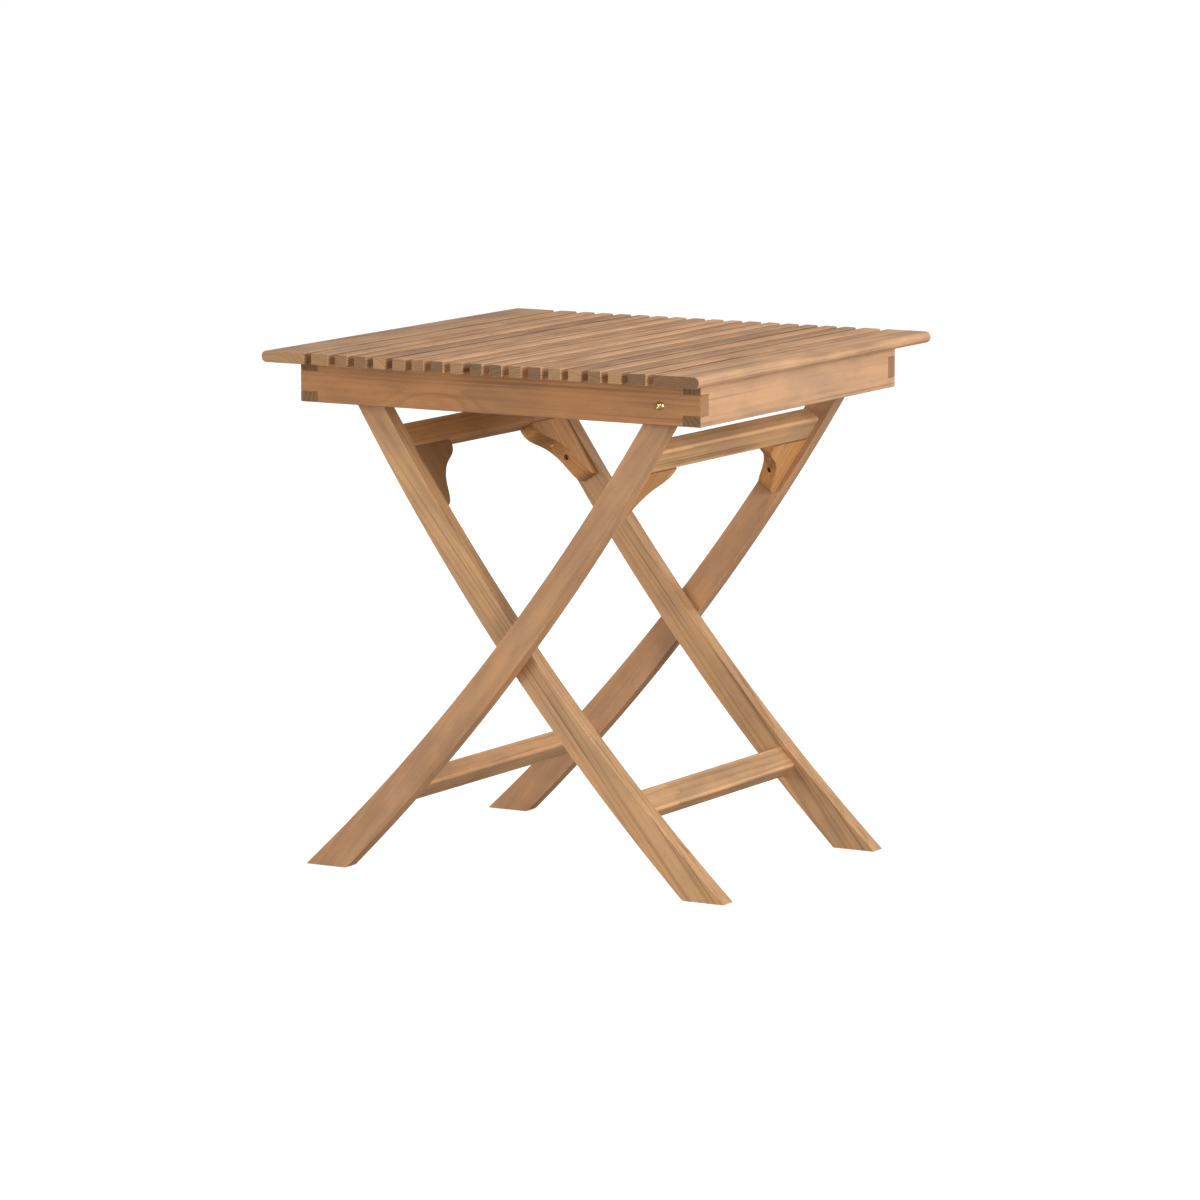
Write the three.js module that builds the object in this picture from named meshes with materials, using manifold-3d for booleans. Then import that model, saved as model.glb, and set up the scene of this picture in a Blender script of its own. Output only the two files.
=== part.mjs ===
// Folding picnic table: a slatted square top on an apron box, carried by two crossed leg frames.
// Millimetres. +X runs along the front apron, +Y away from the front, +Z up.
// The origin is on the floor under the middle of the top.
import * as THREE from "three";
import { mergeVertices } from "three/addons/utils/BufferGeometryUtils.js";
import Module from "manifold-3d";

const wasm = await Module();
wasm.setup();

// ---- Driving dimensions --------------------------------------------------------------------

const fitGap = 0.3; // left between two pieces that touch or sit in each other

// Table top
const tableHeight = 750;
const topWidth = 706;
const topDepth = 700;
const slatThickness = 16.4;
const edgeSlatWidth = 71;
const secondSlatWidth = 28;
const slatGap = 11.8;
const narrowSlatCount = 15;
const slatEase = 1.2;

// Apron box
const apronInsetX = 28.5;
const apronInsetY = 57.5;
const apronHeight = 60;
const longApronThickness = 21.5;
const sideApronThickness = 28;
const fingerHeight = 15;
const battenWidth = 42;
const battenHeight = 20;
const cleatHeight = 36;

// Leg frames
const crossingHeight = 327.6;
const legCurveRadius = 3333;
const legWidth = 41.4;
const legTaper = 0.0115; // width lost for each millimetre up the leg
const legThickness = 26.5;
const pivotDrop = 33.5; // top pivot below the slats
const pivotInset = 36.5; // top pivot inside the side apron
const sideGap = 1.6; // between an apron and a leg, and between two legs

// Rails of the leg frames
const railWidth = 38;
const railThickness = 27.5;
const upperRailDrop = 99; // along the leg, down from the top pivot
const lowerRailArc = 275.5; // along the leg, down from the crossing
const upperRailInset = 3.5; // upper rails set towards the other frame
const tenonLength = 14;
const tenonWidth = 26;
const tenonThickness = 11;

// Corner brackets
const bracketReach = 98;
const bracketThickness = 25.5;

// Hardware
const boltDiameter = 8;
const boltHeadDiameter = 13;
const boltHeadHeight = 4.2;
const boltSlotWidth = 1.4;
const boltSlotDepth = 1.5;
const nutRecessDiameter = 21.5;
const nutRecessDepth = 8.5;
const washerDiameter = 20;
const washerThickness = 1;
const nutAcrossFlats = 13;
const nutThickness = 6;
const pinDiameter = 8;
const pinBite = 18; // crossing pin inside the inner leg
const pinChamfer = 1;
const bushDiameter = 13;
const bushLength = 17;
const screwDiameter = 4;
const screwHeadDiameter = 8;
const screwHeadHeight = 2.6;
const screwLength = 42;
const screwOffset = 59; // screw axis from the bracket's square corner
const screwGrip = 26; // bracket left under the screw head

// ---- Sizes that follow ---------------------------------------------------------------------

const slatUnderside = tableHeight - slatThickness;
const fixedSlatWidth = 2 * (edgeSlatWidth + secondSlatWidth);
const gapTotal = (narrowSlatCount + 3) * slatGap;
const narrowSlatWidth = (topWidth - fixedSlatWidth - gapTotal) / narrowSlatCount;

const apronLength = topWidth - 2 * apronInsetX;
const apronDepth = topDepth - 2 * apronInsetY;
const apronTop = slatUnderside - fitGap;
const apronMiddle = apronTop - apronHeight / 2;
const apronInnerX = apronLength / 2 - sideApronThickness;
const apronInnerY = apronDepth / 2 - longApronThickness;

const outerLegFace = apronInnerY - sideGap;
const outerLegBack = outerLegFace - legThickness;
const innerLegFace = outerLegBack - sideGap;
const innerLegBack = innerLegFace - legThickness;

const boltBore = boltDiameter + 2 * fitGap;
const pinBore = pinDiameter + 2 * fitGap;
const pivotX = apronInnerX - pivotInset;
const pivotZ = slatUnderside - pivotDrop;

// A leg is an arc through the crossing and the top pivot. legAngle is its slope at the crossing.
const chordAngle = Math.atan2(pivotZ - crossingHeight, pivotX);
const chordLength = Math.hypot(pivotX, pivotZ - crossingHeight);
const legAngle = chordAngle - Math.asin(chordLength / (2 * legCurveRadius));

// ---- Solids --------------------------------------------------------------------------------

const teakMaterial = (colour) =>
  new THREE.MeshStandardMaterial({ color: colour, roughness: 0.62, metalness: 0 });
const slatTeak = teakMaterial(0xb98a62);
const apronTeak = teakMaterial(0xb07a50);
const legTeak = teakMaterial(0xc39566);
const brass = new THREE.MeshStandardMaterial({ color: 0xc9a24a, roughness: 0.32, metalness: 1 });
const steel = new THREE.MeshStandardMaterial({ color: 0x9a9a96, roughness: 0.4, metalness: 1 });

function solidOf(geometry) {
  const bare = geometry.clone();
  bare.deleteAttribute("normal");
  bare.deleteAttribute("uv");
  const merged = mergeVertices(bare, 1e-4);
  const vertProperties = new Float32Array(merged.attributes.position.array);
  const triVerts = new Uint32Array(merged.index.array);
  return new wasm.Manifold(new wasm.Mesh({ numProp: 3, vertProperties, triVerts }));
}

function geometryOf(solid) {
  const mesh = solid.getMesh();
  const geometry = new THREE.BufferGeometry();
  geometry.setAttribute("position", new THREE.BufferAttribute(mesh.vertProperties, 3));
  geometry.setIndex(new THREE.BufferAttribute(mesh.triVerts, 1));
  const faceted = geometry.toNonIndexed();
  faceted.computeVertexNormals();
  return faceted;
}

function cut(geometry, cutters) {
  const solids = cutters.map(solidOf);
  return geometryOf(solids.reduce((left, cutter) => left.subtract(cutter), solidOf(geometry)));
}

function join(first, others) {
  const solids = others.map(solidOf);
  return geometryOf(solids.reduce((whole, other) => whole.add(other), solidOf(first)));
}

function polygon(points) {
  return new THREE.Shape(points.map(([x, y]) => new THREE.Vector2(x, y)));
}

function extrude(shape, length) {
  const geometry = new THREE.ExtrudeGeometry(shape, {
    depth: length,
    bevelEnabled: false,
    curveSegments: 12,
  });
  return geometry.translate(0, 0, -length / 2);
}

// The outline's x and y become X and Z, and it runs along Y about the middle.
function extrudeAlongY(shape, length) {
  return extrude(shape, length).rotateX(Math.PI / 2);
}

// The outline's x and y become Y and Z, and it runs along X about the middle.
function extrudeAlongX(shape, length) {
  return extrude(shape, length).rotateX(Math.PI / 2).rotateZ(Math.PI / 2);
}

function addHole(shape, x, y, diameter) {
  const hole = new THREE.Path();
  hole.absarc(x, y, diameter / 2, 0, 2 * Math.PI, false);
  shape.holes.push(hole);
}

function barrel(diameter, length) {
  return new THREE.CylinderGeometry(diameter / 2, diameter / 2, length, 24);
}

function place(parent, name, geometry, material, position = [0, 0, 0]) {
  const mesh = new THREE.Mesh(geometry, material);
  mesh.name = name;
  mesh.position.set(...position);
  parent.add(mesh);
  return mesh;
}

const table = new THREE.Group();

// ---- Slats ---------------------------------------------------------------------------------

// One long edge of an edge slat is a full half round. All other long edges are eased.
function slatSection(width, roundSide) {
  const half = width / 2;
  const deep = slatThickness / 2;
  const shape = new THREE.Shape();
  shape.moveTo(-half + slatEase, -deep);
  if (roundSide) {
    shape.lineTo(half - deep, -deep);
    shape.absarc(half - deep, 0, deep, -Math.PI / 2, Math.PI / 2, false);
  } else {
    shape.lineTo(half - slatEase, -deep);
    shape.lineTo(half, -deep + slatEase);
    shape.lineTo(half, deep - slatEase);
    shape.lineTo(half - slatEase, deep);
  }
  shape.lineTo(-half + slatEase, deep);
  shape.lineTo(-half, deep - slatEase);
  shape.lineTo(-half, -deep + slatEase);
  shape.closePath();
  return shape;
}

const narrowSlats = Array(narrowSlatCount).fill(narrowSlatWidth);
const slatWidths = [
  edgeSlatWidth,
  secondSlatWidth,
  ...narrowSlats,
  secondSlatWidth,
  edgeSlatWidth,
];
let slatLeft = -topWidth / 2;
slatWidths.forEach((width, i) => {
  const isEdge = i === 0 || i === slatWidths.length - 1;
  const middle = [slatLeft + width / 2, 0, tableHeight - slatThickness / 2];
  const geometry = extrudeAlongY(slatSection(width, isEdge), topDepth);
  const slat = place(table, `slat_${String(i + 1).padStart(2, "0")}`, geometry, slatTeak, middle);
  if (i === 0) slat.rotation.z = Math.PI;
  slatLeft += width + slatGap;
});

// ---- Apron box -----------------------------------------------------------------------------

// The long aprons end in one middle finger that shows on the side aprons.
function longApronShape() {
  const end = apronLength / 2;
  const shoulder = apronInnerX - fitGap;
  const half = apronHeight / 2;
  const finger = half - fingerHeight - fitGap;
  const shape = polygon([
    [-shoulder, -half],
    [shoulder, -half],
    [shoulder, -finger],
    [end, -finger],
    [end, finger],
    [shoulder, finger],
    [shoulder, half],
    [-shoulder, half],
    [-shoulder, finger],
    [-end, finger],
    [-end, -finger],
    [-shoulder, -finger],
  ]);
  addHole(shape, pivotX, pivotZ - apronMiddle, boltBore);
  return shape;
}

// The side aprons end in an upper and a lower finger that show on the long aprons.
function sideApronShape() {
  const end = apronDepth / 2;
  const root = apronInnerY - fitGap;
  const half = apronHeight / 2;
  const slot = half - fingerHeight;
  return polygon([
    [-end, -half],
    [end, -half],
    [end, -slot],
    [root, -slot],
    [root, slot],
    [end, slot],
    [end, half],
    [-end, half],
    [-end, slot],
    [-root, slot],
    [-root, -slot],
    [-end, -slot],
  ]);
}

const longApronY = (apronDepth - longApronThickness) / 2;
const sideApronX = (apronLength - sideApronThickness) / 2;
const longApron = extrudeAlongY(longApronShape(), longApronThickness);
const sideApron = extrudeAlongX(sideApronShape(), sideApronThickness);
place(table, "front_apron", longApron, apronTeak, [0, -longApronY, apronMiddle]);
place(table, "back_apron", longApron, apronTeak, [0, longApronY, apronMiddle]);
place(table, "left_apron", sideApron, apronTeak, [-sideApronX, 0, apronMiddle]);
place(table, "right_apron", sideApron, apronTeak, [sideApronX, 0, apronMiddle]);

// ---- Leg geometry --------------------------------------------------------------------------
// lean is +1 for the outer frame, whose tops lean to +X, and -1 for the inner frame.
// Places on a leg are an arc length up from the crossing and an offset across, positive to +X.

const slopeAt = (arc) => legAngle + arc / legCurveRadius;
const halfWidthAt = (arc) => (legWidth - legTaper * arc) / 2;

function legPoint(lean, arc, across) {
  const slope = slopeAt(arc);
  const run = legCurveRadius * (Math.sin(slope) - Math.sin(legAngle));
  const rise = legCurveRadius * (Math.cos(legAngle) - Math.cos(slope));
  return [
    lean * run + across * Math.sin(slope),
    rise - lean * across * Math.cos(slope),
  ];
}

// The arc length at which a line drawn at this offset reaches a height above the crossing.
function arcAtHeight(height, across) {
  const radius = legCurveRadius + across;
  const start = legCurveRadius * Math.cos(legAngle);
  return (Math.acos((start - height) / radius) - legAngle) * legCurveRadius;
}

// A leg edge tapers, so the place where it meets the floor is found by repeating.
function soleArc(side) {
  let arc = -crossingHeight;
  for (let i = 0; i < 8; i += 1) {
    arc = arcAtHeight(-crossingHeight, side * halfWidthAt(arc));
  }
  return arc;
}

// The centre of a round leg top that just reaches a height above the crossing.
function capArc(height) {
  let arc = height;
  for (let i = 0; i < 8; i += 1) {
    arc = arcAtHeight(height - halfWidthAt(arc), 0);
  }
  return arc;
}

// One long edge from the sole up, the round top, and the other long edge back down.
function legOutline(lean, topArc) {
  const steps = 14;
  const capSteps = 12;
  const edge = (side) => {
    const foot = soleArc(side * lean);
    const points = [];
    for (let i = 0; i <= steps; i += 1) {
      const arc = foot + ((topArc - foot) * i) / steps;
      points.push(legPoint(lean, arc, side * halfWidthAt(arc)));
    }
    return points;
  };
  const cap = [];
  const [capX, capZ] = legPoint(lean, topArc, 0);
  const capRadius = halfWidthAt(topArc);
  const start = lean * (slopeAt(topArc) - Math.PI / 2);
  for (let i = 1; i < capSteps; i += 1) {
    const angle = start + (Math.PI * i) / capSteps;
    cap.push([capX + capRadius * Math.cos(angle), capZ + capRadius * Math.sin(angle)]);
  }
  return [...edge(1), ...cap, ...edge(-1).reverse()];
}

// Turns +Z up the leg and moves the origin to a place on the leg.
function stationMatrix(lean, arc, across) {
  const [x, z] = legPoint(lean, arc, across);
  const turn = lean * (Math.PI / 2 - slopeAt(arc));
  return new THREE.Matrix4().makeRotationY(turn).setPosition(x, 0, z);
}

const pivotArc = arcAtHeight(pivotZ - crossingHeight, 0);
const innerTopArc = capArc(apronTop - crossingHeight);
const upperRailArc = pivotArc - upperRailDrop;

// ---- Hardware shapes, all turned about Y ---------------------------------------------------

function ring(outer, bore, thickness) {
  const shape = new THREE.Shape();
  shape.absarc(0, 0, outer / 2, 0, 2 * Math.PI, false);
  addHole(shape, 0, 0, bore);
  return extrudeAlongY(shape, thickness);
}

const washer = (bore) => ring(washerDiameter, bore, washerThickness);

function hexNut() {
  const corner = nutAcrossFlats / Math.sqrt(3);
  const turns = [0, 1, 2, 3, 4, 5].map((i) => (i * Math.PI) / 3);
  const shape = polygon(turns.map((a) => [corner * Math.cos(a), corner * Math.sin(a)]));
  addHole(shape, 0, 0, boltBore);
  return extrudeAlongY(shape, nutThickness);
}

// The underside of the head is at the origin and the shank runs to +Y.
function domeBolt(shankLength) {
  const profile = [];
  const domeSteps = 5;
  for (let i = 0; i <= domeSteps; i += 1) {
    const angle = (Math.PI / 2) * (i / domeSteps);
    profile.push([
      (boltHeadDiameter / 2) * Math.sin(angle),
      -boltHeadHeight * Math.cos(angle),
    ]);
  }
  profile.push([boltDiameter / 2, 0], [boltDiameter / 2, shankLength], [0, shankLength]);
  const points = profile.map(([radius, y]) => new THREE.Vector2(radius, y));
  const slot = new THREE.BoxGeometry(boltHeadDiameter, 2 * boltSlotDepth, boltSlotWidth);
  slot.rotateY(Math.PI / 4).translate(0, -boltHeadHeight, 0);
  return cut(new THREE.LatheGeometry(points, 24), [slot]);
}

// The leg face that it comes out of is at the origin, and it runs on to +Y into the bush.
function crossingPin() {
  const radius = pinDiameter / 2;
  const end = sideGap + bushLength;
  const profile = [
    [0, -pinBite],
    [radius - pinChamfer, -pinBite],
    [radius, -pinBite + pinChamfer],
    [radius, end - pinChamfer],
    [radius - pinChamfer, end],
    [0, end],
  ];
  const points = profile.map(([reach, y]) => new THREE.Vector2(reach, y));
  return new THREE.LatheGeometry(points, 24);
}

// The top of the head is at the origin and the point is at +Y.
function woodScrew() {
  const shank = screwDiameter / 2;
  const tip = screwHeadHeight + screwLength;
  const profile = [
    [0, 0],
    [0.7 * screwHeadDiameter / 2, 0],
    [screwHeadDiameter / 2, screwHeadHeight / 2],
    [screwHeadDiameter / 2, screwHeadHeight],
    [shank, screwHeadHeight],
    [shank, tip - 1.5 * screwDiameter],
    [0, tip],
  ];
  const points = profile.map(([radius, y]) => new THREE.Vector2(radius, y));
  return new THREE.LatheGeometry(points, 12);
}

// ---- Brackets ------------------------------------------------------------------------------
// A bracket is drawn from its square corner: down the leg is -Z and towards the middle is +Y.

function bracketShape() {
  const reach = bracketReach;
  const waist = 0.47 * reach;
  const shape = new THREE.Shape();
  shape.moveTo(0, 0);
  shape.lineTo(reach, 0);
  shape.bezierCurveTo(reach, -0.275 * reach, 0.67 * reach, -0.245 * reach, waist, -waist);
  shape.bezierCurveTo(0.245 * reach, -0.67 * reach, 0.275 * reach, -reach, 0, -reach);
  shape.closePath();
  return shape;
}

// A clearance hole and a wider recess for the head, along +Y from the leg face.
function screwHole() {
  const hole = barrel(screwDiameter + 2 * fitGap, 4 * screwGrip);
  const recess = barrel(screwHeadDiameter + 2 * fitGap, bracketReach);
  recess.translate(0, screwGrip + bracketReach / 2, 0);
  return join(hole, [recess]);
}

function bracketGeometry() {
  const intoLeg = screwHole().translate(0, 0, -screwOffset);
  const intoRail = screwHole().rotateX(-Math.PI / 2).translate(0, screwOffset, 0);
  return cut(extrudeAlongX(bracketShape(), bracketThickness), [intoLeg, intoRail]);
}

// ---- Leg frames ----------------------------------------------------------------------------

const bracketShift = (railThickness - bracketThickness) / 2; // flush with the rail's +X face
const upperRailShift = (lean) => -lean * upperRailInset;
const bracketCornerZ = -railWidth / 2 - fitGap;
const screwBite = screwLength - screwGrip;
const screwSeat = screwGrip + fitGap + screwHeadHeight;

function pilotHole() {
  return barrel(screwDiameter + 2 * fitGap, 2 * (screwBite + 2 * fitGap));
}

function railGeometry(legBack, brackets) {
  const body = new THREE.BoxGeometry(railThickness, 2 * (legBack - fitGap), railWidth);
  const tenonSpan = 2 * (legBack + tenonLength);
  const tenons = new THREE.BoxGeometry(tenonThickness, tenonSpan, tenonWidth);
  const rail = join(body, [tenons]);
  if (!brackets) return rail;
  const pilotY = legBack - fitGap - screwOffset;
  const pilots = [-1, 1].map((side) =>
    pilotHole().rotateX(Math.PI / 2).translate(bracketShift, side * pilotY, -railWidth / 2),
  );
  return cut(rail, pilots);
}

// Mortises for both rails and the pilot hole of the bracket screw, in one leg.
function jointCutters(lean, faceY) {
  const mortise = () =>
    new THREE.BoxGeometry(
      tenonThickness + 2 * fitGap,
      2 * (tenonLength + fitGap),
      tenonWidth + 2 * fitGap,
    ).translate(0, faceY, 0);
  const pilot = pilotHole().translate(bracketShift, faceY, bracketCornerZ - screwOffset);
  const upper = stationMatrix(lean, upperRailArc, upperRailShift(lean));
  const lower = stationMatrix(lean, -lowerRailArc, 0);
  return [
    mortise().applyMatrix4(upper),
    mortise().applyMatrix4(lower),
    pilot.applyMatrix4(upper),
  ];
}

function addFrame(name, lean, legBack, topArc, boresOf) {
  const frame = new THREE.Group();
  frame.position.z = crossingHeight;
  table.add(frame);

  const sides = [
    { label: "near", side: -1 },
    { label: "far", side: 1 },
  ];
  const outline = legOutline(lean, topArc);
  for (const { label, side } of sides) {
    const blank = extrudeAlongY(polygon(outline), legThickness);
    blank.translate(0, side * (legBack + legThickness / 2), 0);
    const cutters = [...jointCutters(lean, side * legBack), ...boresOf(side)];
    place(frame, `${name}_leg_${label}`, cut(blank, cutters), legTeak);
  }

  const upper = new THREE.Group();
  upper.applyMatrix4(stationMatrix(lean, upperRailArc, upperRailShift(lean)));
  frame.add(upper);
  place(upper, `${name}_upper_rail`, railGeometry(legBack, true), legTeak);
  for (const { label, side } of sides) {
    const corner = new THREE.Group();
    corner.position.set(bracketShift, side * (legBack - fitGap), bracketCornerZ);
    if (side > 0) corner.rotation.z = Math.PI;
    upper.add(corner);
    place(corner, `${name}_bracket_${label}`, bracketGeometry(), legTeak);
    const legScrew = place(corner, `${name}_leg_screw_${label}`, woodScrew(), brass);
    legScrew.position.set(0, screwSeat, -screwOffset);
    legScrew.rotation.x = Math.PI;
    const railScrew = place(corner, `${name}_rail_screw_${label}`, woodScrew(), brass);
    railScrew.position.set(0, screwOffset, -screwSeat);
    railScrew.rotation.x = Math.PI / 2;
  }

  const lower = new THREE.Group();
  lower.applyMatrix4(stationMatrix(lean, -lowerRailArc, 0));
  frame.add(lower);
  place(lower, `${name}_lower_rail`, railGeometry(legBack, false), legTeak);
}

// The outer legs turn on the top pivots, whose nuts sit in recesses in the legs' inner faces.
// At the crossing each holds a blind bush, sunk from the inner face.
function outerBores(side) {
  const [x, z] = legPoint(1, pivotArc, 0);
  const pivot = barrel(boltBore, 4 * legThickness).translate(x, side * outerLegBack, z);
  const recess = barrel(nutRecessDiameter, 2 * nutRecessDepth);
  recess.translate(x, side * outerLegBack, z);
  const socket = barrel(bushDiameter + 2 * fitGap, 2 * (bushLength + 2 * fitGap));
  socket.translate(0, side * outerLegBack, 0);
  return [pivot, recess, socket];
}

// The inner legs hold the crossing pins in blind holes, so that no metal shows at the crossing.
function innerBores(side) {
  return [barrel(pinBore, 2 * (pinBite + fitGap)).translate(0, side * innerLegFace, 0)];
}

addFrame("outer", 1, outerLegBack, pivotArc, outerBores);
addFrame("inner", -1, innerLegBack, innerTopArc, innerBores);

// ---- Stop cleat and batten -----------------------------------------------------------------
// The round tops of the inner legs bear on the edge slat and against the cleat.
// The batten ties the slats together along the middle, from the cleat to the right apron.

const innerTopReach = -legPoint(-1, innerTopArc, 0)[0] + halfWidthAt(innerTopArc);
const cleatOuterX = apronInnerX - fitGap;
const cleatThickness = cleatOuterX - innerTopReach - fitGap;
const cleatLength = 2 * (apronInnerY - fitGap);
const cleat = new THREE.BoxGeometry(cleatThickness, cleatLength, cleatHeight);
const cleatX = cleatThickness / 2 - cleatOuterX;
place(table, "stop_cleat", cleat, apronTeak, [cleatX, 0, apronTop - cleatHeight / 2]);

const battenLeft = cleatThickness + fitGap - cleatOuterX;
const battenRight = apronInnerX - fitGap;
const batten = new THREE.BoxGeometry(battenRight - battenLeft, battenWidth, battenHeight);
const battenX = (battenLeft + battenRight) / 2;
place(table, "slat_batten", batten, apronTeak, [battenX, 0, apronTop - battenHeight / 2]);

// ---- Pivots --------------------------------------------------------------------------------

const boltGrip = longApronThickness + sideGap + legThickness;
for (const [label, side] of [
  ["near", -1],
  ["far", 1],
]) {
  const top = new THREE.Group();
  top.position.set(pivotX, (side * apronDepth) / 2, pivotZ);
  if (side > 0) top.rotation.z = Math.PI;
  table.add(top);
  const washerY = longApronThickness + sideGap / 2;
  const recessFloor = boltGrip - nutRecessDepth;
  const innerWasherY = recessFloor + fitGap + washerThickness / 2;
  const nutY = innerWasherY + washerThickness / 2 + fitGap + nutThickness / 2;
  place(top, `top_pivot_bolt_${label}`, domeBolt(boltGrip), brass, [0, -fitGap, 0]);
  place(top, `top_pivot_spacer_${label}`, washer(boltBore), brass, [0, washerY, 0]);
  place(top, `top_pivot_washer_${label}`, washer(boltBore), steel, [0, innerWasherY, 0]);
  place(top, `top_pivot_nut_${label}`, hexNut(), steel, [0, nutY, 0]);

  const crossing = new THREE.Group();
  crossing.position.set(0, side * innerLegFace, crossingHeight);
  if (side < 0) crossing.rotation.z = Math.PI;
  table.add(crossing);
  const bush = ring(bushDiameter, pinBore, bushLength);
  const bushY = sideGap + fitGap + bushLength / 2;
  place(crossing, `crossing_pin_${label}`, crossingPin(), steel);
  place(crossing, `crossing_spacer_${label}`, washer(pinBore), brass, [0, sideGap / 2, 0]);
  place(crossing, `crossing_bush_${label}`, bush, brass, [0, bushY, 0]);
}

export default table;
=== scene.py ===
# Folding table in teak: a slatted square top on a finger-jointed apron box, carried by two
# crossed frames of curved legs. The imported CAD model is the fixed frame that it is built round.
import bmesh
import bpy
import math
import random
from mathutils import Matrix, Vector, kdtree


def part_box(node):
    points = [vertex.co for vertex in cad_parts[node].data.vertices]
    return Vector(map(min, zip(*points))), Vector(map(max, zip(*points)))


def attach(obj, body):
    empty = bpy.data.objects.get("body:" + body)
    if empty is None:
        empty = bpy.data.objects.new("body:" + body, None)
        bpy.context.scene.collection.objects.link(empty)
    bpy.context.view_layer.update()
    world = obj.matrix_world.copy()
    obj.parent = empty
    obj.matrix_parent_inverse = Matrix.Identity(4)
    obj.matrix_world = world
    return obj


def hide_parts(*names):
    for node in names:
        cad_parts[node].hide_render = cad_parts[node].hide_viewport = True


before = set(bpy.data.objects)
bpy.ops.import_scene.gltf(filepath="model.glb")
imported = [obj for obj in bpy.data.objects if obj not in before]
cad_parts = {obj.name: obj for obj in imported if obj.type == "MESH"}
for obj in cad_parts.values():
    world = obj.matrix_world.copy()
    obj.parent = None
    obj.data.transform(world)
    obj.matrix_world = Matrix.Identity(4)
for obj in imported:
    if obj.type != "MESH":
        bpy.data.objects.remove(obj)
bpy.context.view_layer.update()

# ---- Studio ----------------------------------------------------------------------------------
# A long lens looks at the table from its front right, a little above the apron, on white paper.
# A strong soft box stands to the right and one in front, with weaker ones above, left and behind.

VIEW_AZIMUTH = math.radians(29.76)
VIEW_ELEVATION = math.radians(8.46)
VIEW_DISTANCE = 8.631
LOOK_AT = Vector((-0.0017, 0.0, 0.37384))
LENS = 179.3
FILM_WIDTH = 36.0
FARTHEST_SEEN = 200.0
SKY_LIGHT = 0.31
FLOOR_REACH = 60.0
FLOOR_LEVEL = -0.0003
PAPER_GREY = 0.32
PAPER_GLOW = 0.92


def linked(name, contents):
    """An object that holds the mesh, lamp or camera and is in the scene."""
    thing = bpy.data.objects.new(name, contents)
    bpy.context.scene.collection.objects.link(thing)
    return thing


view_direction = Vector((
    math.sin(VIEW_AZIMUTH) * math.cos(VIEW_ELEVATION),
    -math.cos(VIEW_AZIMUTH) * math.cos(VIEW_ELEVATION),
    math.sin(VIEW_ELEVATION),
))
camera = linked("camera", bpy.data.cameras.new("camera"))
camera.data.lens = LENS
camera.data.sensor_width = FILM_WIDTH
camera.data.clip_end = FARTHEST_SEEN
camera.location = LOOK_AT + view_direction * VIEW_DISTANCE
camera.rotation_euler = (-view_direction).to_track_quat("-Z", "Y").to_euler()
bpy.context.scene.camera = camera
bpy.context.scene.view_settings.view_transform = "Standard"


def soft_box(name, place, size, power, colour):
    """A square area light that faces the middle of the table."""
    lamp = bpy.data.lights.new(name, "AREA")
    lamp.shape = "SQUARE"
    lamp.size = size
    lamp.energy = power
    lamp.color = colour
    box = linked(name, lamp)
    box.location = place
    box.rotation_euler = (LOOK_AT - Vector(place)).to_track_quat("-Z", "Y").to_euler()


soft_box("right_soft_box", (4.4, -1.5, 1.5), 2.4, 158.0, (1.0, 0.985, 0.96))
soft_box("top_soft_box", (-0.6, 0.6, 4.0), 3.0, 46.0, (1.0, 1.0, 1.0))
soft_box("front_soft_box", (-1.8, -4.4, 1.2), 2.2, 96.0, (1.0, 0.99, 0.97))
soft_box("left_soft_box", (-4.6, 2.2, 2.6), 2.4, 60.0, (1.0, 0.99, 0.97))
soft_box("back_soft_box", (2.6, 4.4, 1.7), 2.4, 62.0, (1.0, 0.99, 0.97))

sky = bpy.data.worlds.new("studio_white")
sky.use_nodes = True
sky.node_tree.nodes["Background"].inputs["Color"].default_value = (1.0, 1.0, 1.0, 1.0)
seen = sky.node_tree.nodes.new("ShaderNodeLightPath")
sky_level = sky.node_tree.nodes.new("ShaderNodeMapRange")
sky_level.inputs["To Min"].default_value = SKY_LIGHT
sky_level.inputs["To Max"].default_value = 1.0
sky.node_tree.links.new(seen.outputs["Is Camera Ray"], sky_level.inputs["Value"])
sky.node_tree.links.new(sky_level.outputs[0], sky.node_tree.nodes["Background"].inputs["Strength"])
bpy.context.scene.world = sky

floor_mesh = bpy.data.meshes.new("paper_floor")
floor_corners = [
    (x * FLOOR_REACH, y * FLOOR_REACH, FLOOR_LEVEL) for x, y in ((-1, -1), (1, -1), (1, 1), (-1, 1))
]
floor_mesh.from_pydata(floor_corners, [], [(0, 1, 2, 3)])
floor = linked("paper_floor", floor_mesh)
paper = bpy.data.materials.new("white_paper")
paper.use_nodes = True
paper_surface = paper.node_tree.nodes["Principled BSDF"]
paper_surface.inputs["Base Color"].default_value = (PAPER_GREY, PAPER_GREY, PAPER_GREY, 1.0)
paper_surface.inputs["Roughness"].default_value = 0.9
paper_surface.inputs["Specular IOR Level"].default_value = 0.0
paper_surface.inputs["Emission Color"].default_value = (1.0, 1.0, 1.0, 1.0)
ray = paper.node_tree.nodes.new("ShaderNodeLightPath")
overexposed = paper.node_tree.nodes.new("ShaderNodeMath")
overexposed.operation = "MULTIPLY"
overexposed.inputs[1].default_value = PAPER_GLOW
paper.node_tree.links.new(ray.outputs["Is Camera Ray"], overexposed.inputs[0])
paper.node_tree.links.new(overexposed.outputs[0], paper_surface.inputs["Emission Strength"])
floor_mesh.materials.append(paper)

# ---- Slats -----------------------------------------------------------------------------------
# Nineteen teak strips run from front to back: fifteen narrow ones, a wider one at each side of
# them and a broad one at each edge, whose outer side is turned to a half round. They are planed,
# cut to one length, eased on every arris and screwed down from below.

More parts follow.
